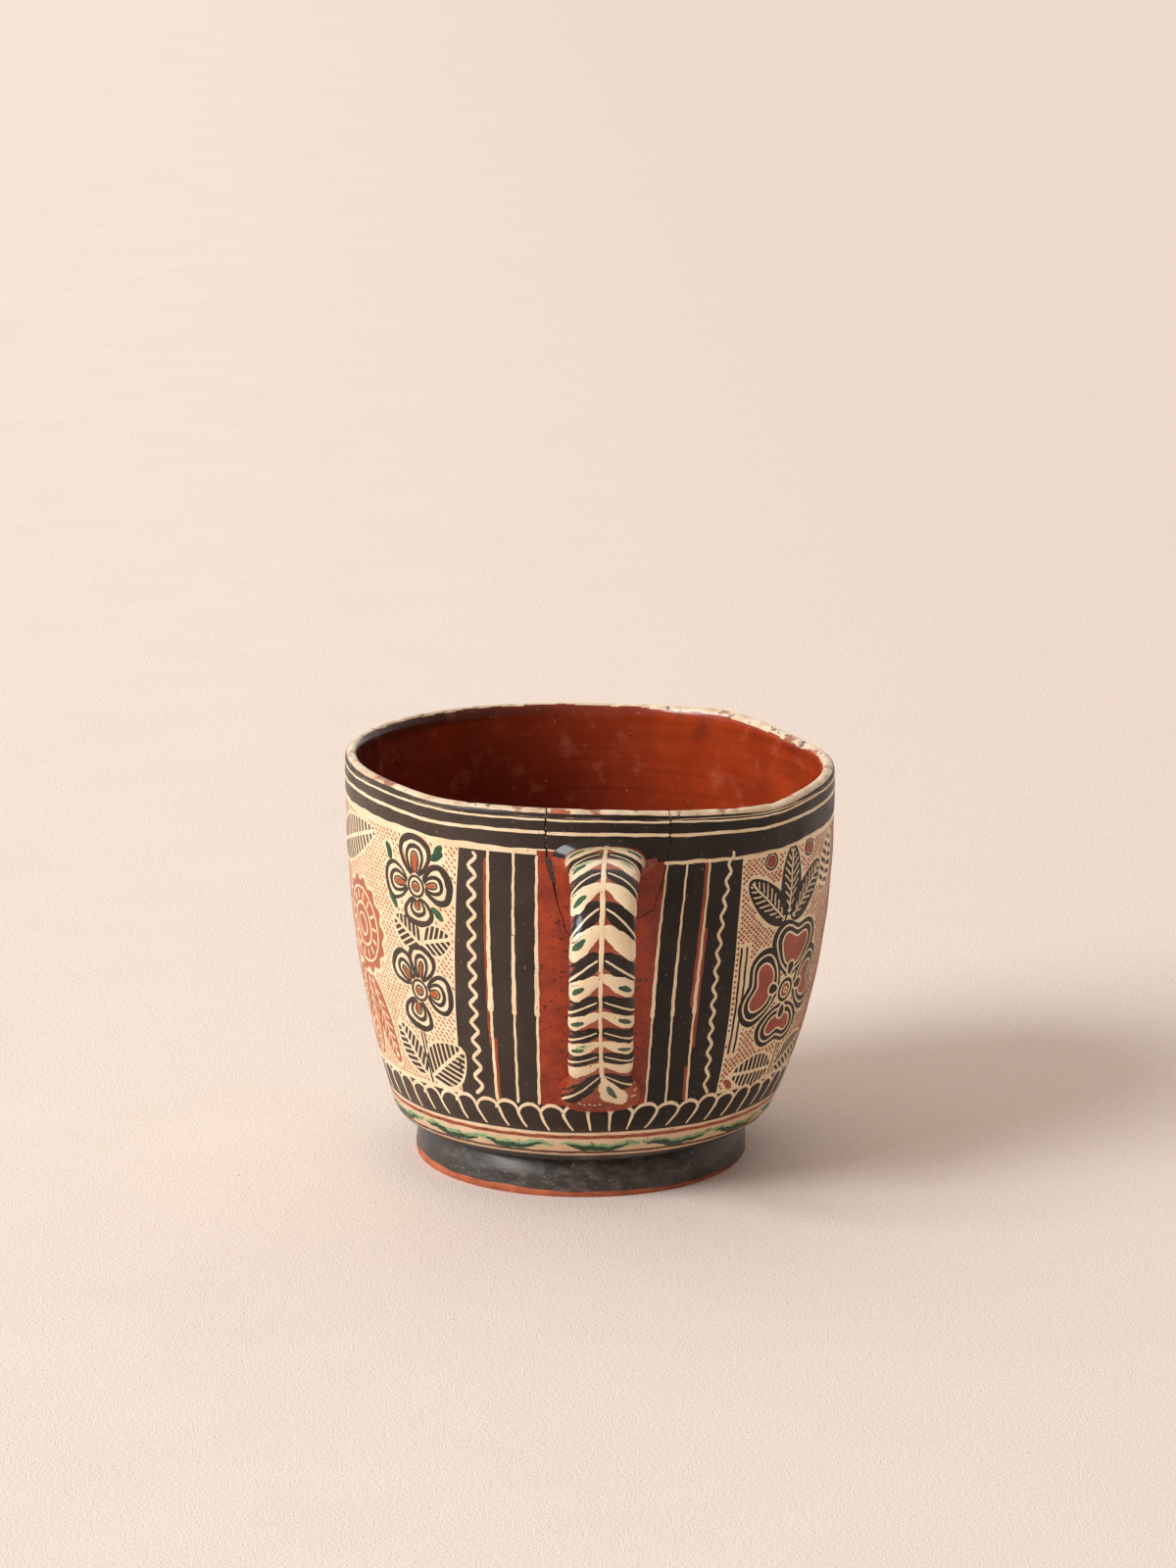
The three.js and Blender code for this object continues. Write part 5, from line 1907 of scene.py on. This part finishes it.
# %% Garland
garland_cream = Coat("garland_cream", handle_cream, "cream_slip")
garland_black = Coat("garland_black", handle_black, "black_slip")
garland_lines = Coat("garland_midlines", handle_cream, "cream_slip")
garland_green = Coat("garland_green", dark_green_slip, "green_slip")
garland_wash = Coat("garland_wash", pale_green_slip, "green_slip")
PAIRS = 8
FIRST_PAIR = 2.7
PAIR_PITCH = 8.05
BLACK_DROP = 4.5
LEFT_FAT = (5.6, 4.8, 4.8, 4.5, 4.7, 3.6, 4.2, 4.0)
RIGHT_FAT = (5.6, 4.5, 4.2, 4.4, 4.0, 3.4, 3.9, 3.4)
LEFT_GREEN = (0, 1, 2, 3, 4, 5, 6)
RIGHT_GREEN = (0, 4, 5, 6)
WASHED = ((-1, 0), (-1, 1), (1, 0), (1, 1), (-1, 6))
DROP_START = 64.0
DROP_END = 81.0
DROP_LEAN = 2.7  # the bud hangs to the right of the stem
LAST_DROOP = {-1: 17.5, 1: 9.5}  # the lowest black leaves hang down beside the bud


def sway(along):
    """How far the stem strays from the middle of the strap."""
    return 0.35 - 0.75 * np.sin(math.pi * np.asarray(along, float) / 70.0)


def hanging_leaf(side, root, reach, droop):
    """The middle line of a leaf that leaves the stem and hangs over the strap's edge."""
    share = np.linspace(0, 1, 12)
    start = float(sway(root))
    across = start + (side * reach - start) * share
    return np.stack([across, root + droop * (0.65 * share + 0.35 * share ** 2)], 1)


def club(fat, slim):
    """Width of a leaf that swells towards its round end."""
    return lambda t: slim + (fat - slim) * math.sin(0.5 * math.pi * min(1.0, 1.5 * t)) ** 1.1


def swell(slim, fat):
    """Width of a dab of green, thickest in the middle."""
    return lambda t: slim + (fat - slim) * math.sin(math.pi * t)


def bud_width(t):
    """Width of the drop-shaped bud."""
    return 0.6 + 4.7 * math.sin(math.pi * t ** 1.45) ** 0.8


for pair in range(PAIRS):
    root = FIRST_PAIR + pair * PAIR_PITCH
    lower = min(1.0, max(0.0, (root - 35.0) / 25.0))  # leaves hang longer where the strap turns under
    last = pair == PAIRS - 1
    left_leaf = (-1, LEFT_FAT[pair], 5.0 + 2.6 * lower)
    right_leaf = (1, RIGHT_FAT[pair], 4.4 + 2.4 * lower)
    for side, fat, droop in (left_leaf, right_leaf):
        droop = droop * hand.uniform(0.92, 1.08)
        black_droop = LAST_DROOP[side] if last else droop + 0.4
        black_reach = EDGE * hand.uniform(0.94, 1.0) - (0.9 if last else 0.0)
        black_middle = hanging_leaf(side, root + BLACK_DROP, black_reach, black_droop)
        brush(garland_black, STRAP, black_middle, club(5.0, 3.0), FIRST_LIFT + 0.01, shaky=0.03)
        rib = black_middle[1:] + (0, 0.3)
        brush(garland_lines, STRAP, rib, lambda t: 0.4 + 0.25 * t, SECOND_LIFT, shaky=0.03)
        middle = hanging_leaf(side, root + hand.uniform(-0.3, 0.3), EDGE - 0.4, droop)
        brush(garland_cream, STRAP, middle, club(fat, 1.6), SECOND_LIFT, shaky=0.03)
        if (side, pair) in WASHED:
            wash = middle[3:9] + (0, hand.uniform(-0.9, -0.3))
            brush(garland_wash, STRAP, wash, swell(0.4, 1.4), THIRD_LIFT - 0.02, shaky=0.15)
        if pair in (LEFT_GREEN if side < 0 else RIGHT_GREEN):
            vein = middle[5:10] + (0, hand.uniform(-0.3, 0.5))
            brush(garland_green, STRAP, vein, swell(0.6, 1.5), THIRD_LIFT, shaky=0.1)
along = np.linspace(-0.5, DROP_START + 1, 60)
stem_line = np.stack([sway(along), along], 1)
brush(garland_cream, STRAP, stem_line, lambda t: 0.95 - 0.2 * math.cos(9 * t), THIRD_LIFT, shaky=0.04)
drop = np.linspace(DROP_START, DROP_END, 20)
drop_line = np.stack([sway(drop) + DROP_LEAN * (drop - DROP_START) / (DROP_END - DROP_START), drop], 1)
brush(garland_cream, STRAP, drop_line, bud_width, THIRD_LIFT, shaky=0.03)
brush(garland_green, STRAP, drop_line[6:15] + (0.1, 0), swell(0.6, 1.7), TOP_LIFT)
for number in range(5):
    left_dot = np.array([-3.6 + 0.8 * number, 79.6 + 0.5 * (number % 2)])
    right_dot = np.array([5.2 + 0.5 * number, 78.0 - 0.9 * number + 1.4 * (number % 2)])
    for dot in (left_dot, right_dot):
        brush(garland_lines, STRAP, [dot, dot + (0.35, 0.6)], 0.5, SECOND_LIFT, shaky=0.0)
print(PAIRS, "pairs of leaves on", round(STRAP_LENGTH, 1), "mm of strap")

# %% [markdown]
# ## Fire the coats and finish
# Each coat becomes one piece that belongs to the cup's rigid body.
# Strokes could stay apart, but one piece for each colour and place is easier to use again.

# %% Fire and finish
for coat in coats:
    piece = coat.fire()
    print(coat.name, len(piece.data.polygons), "faces")
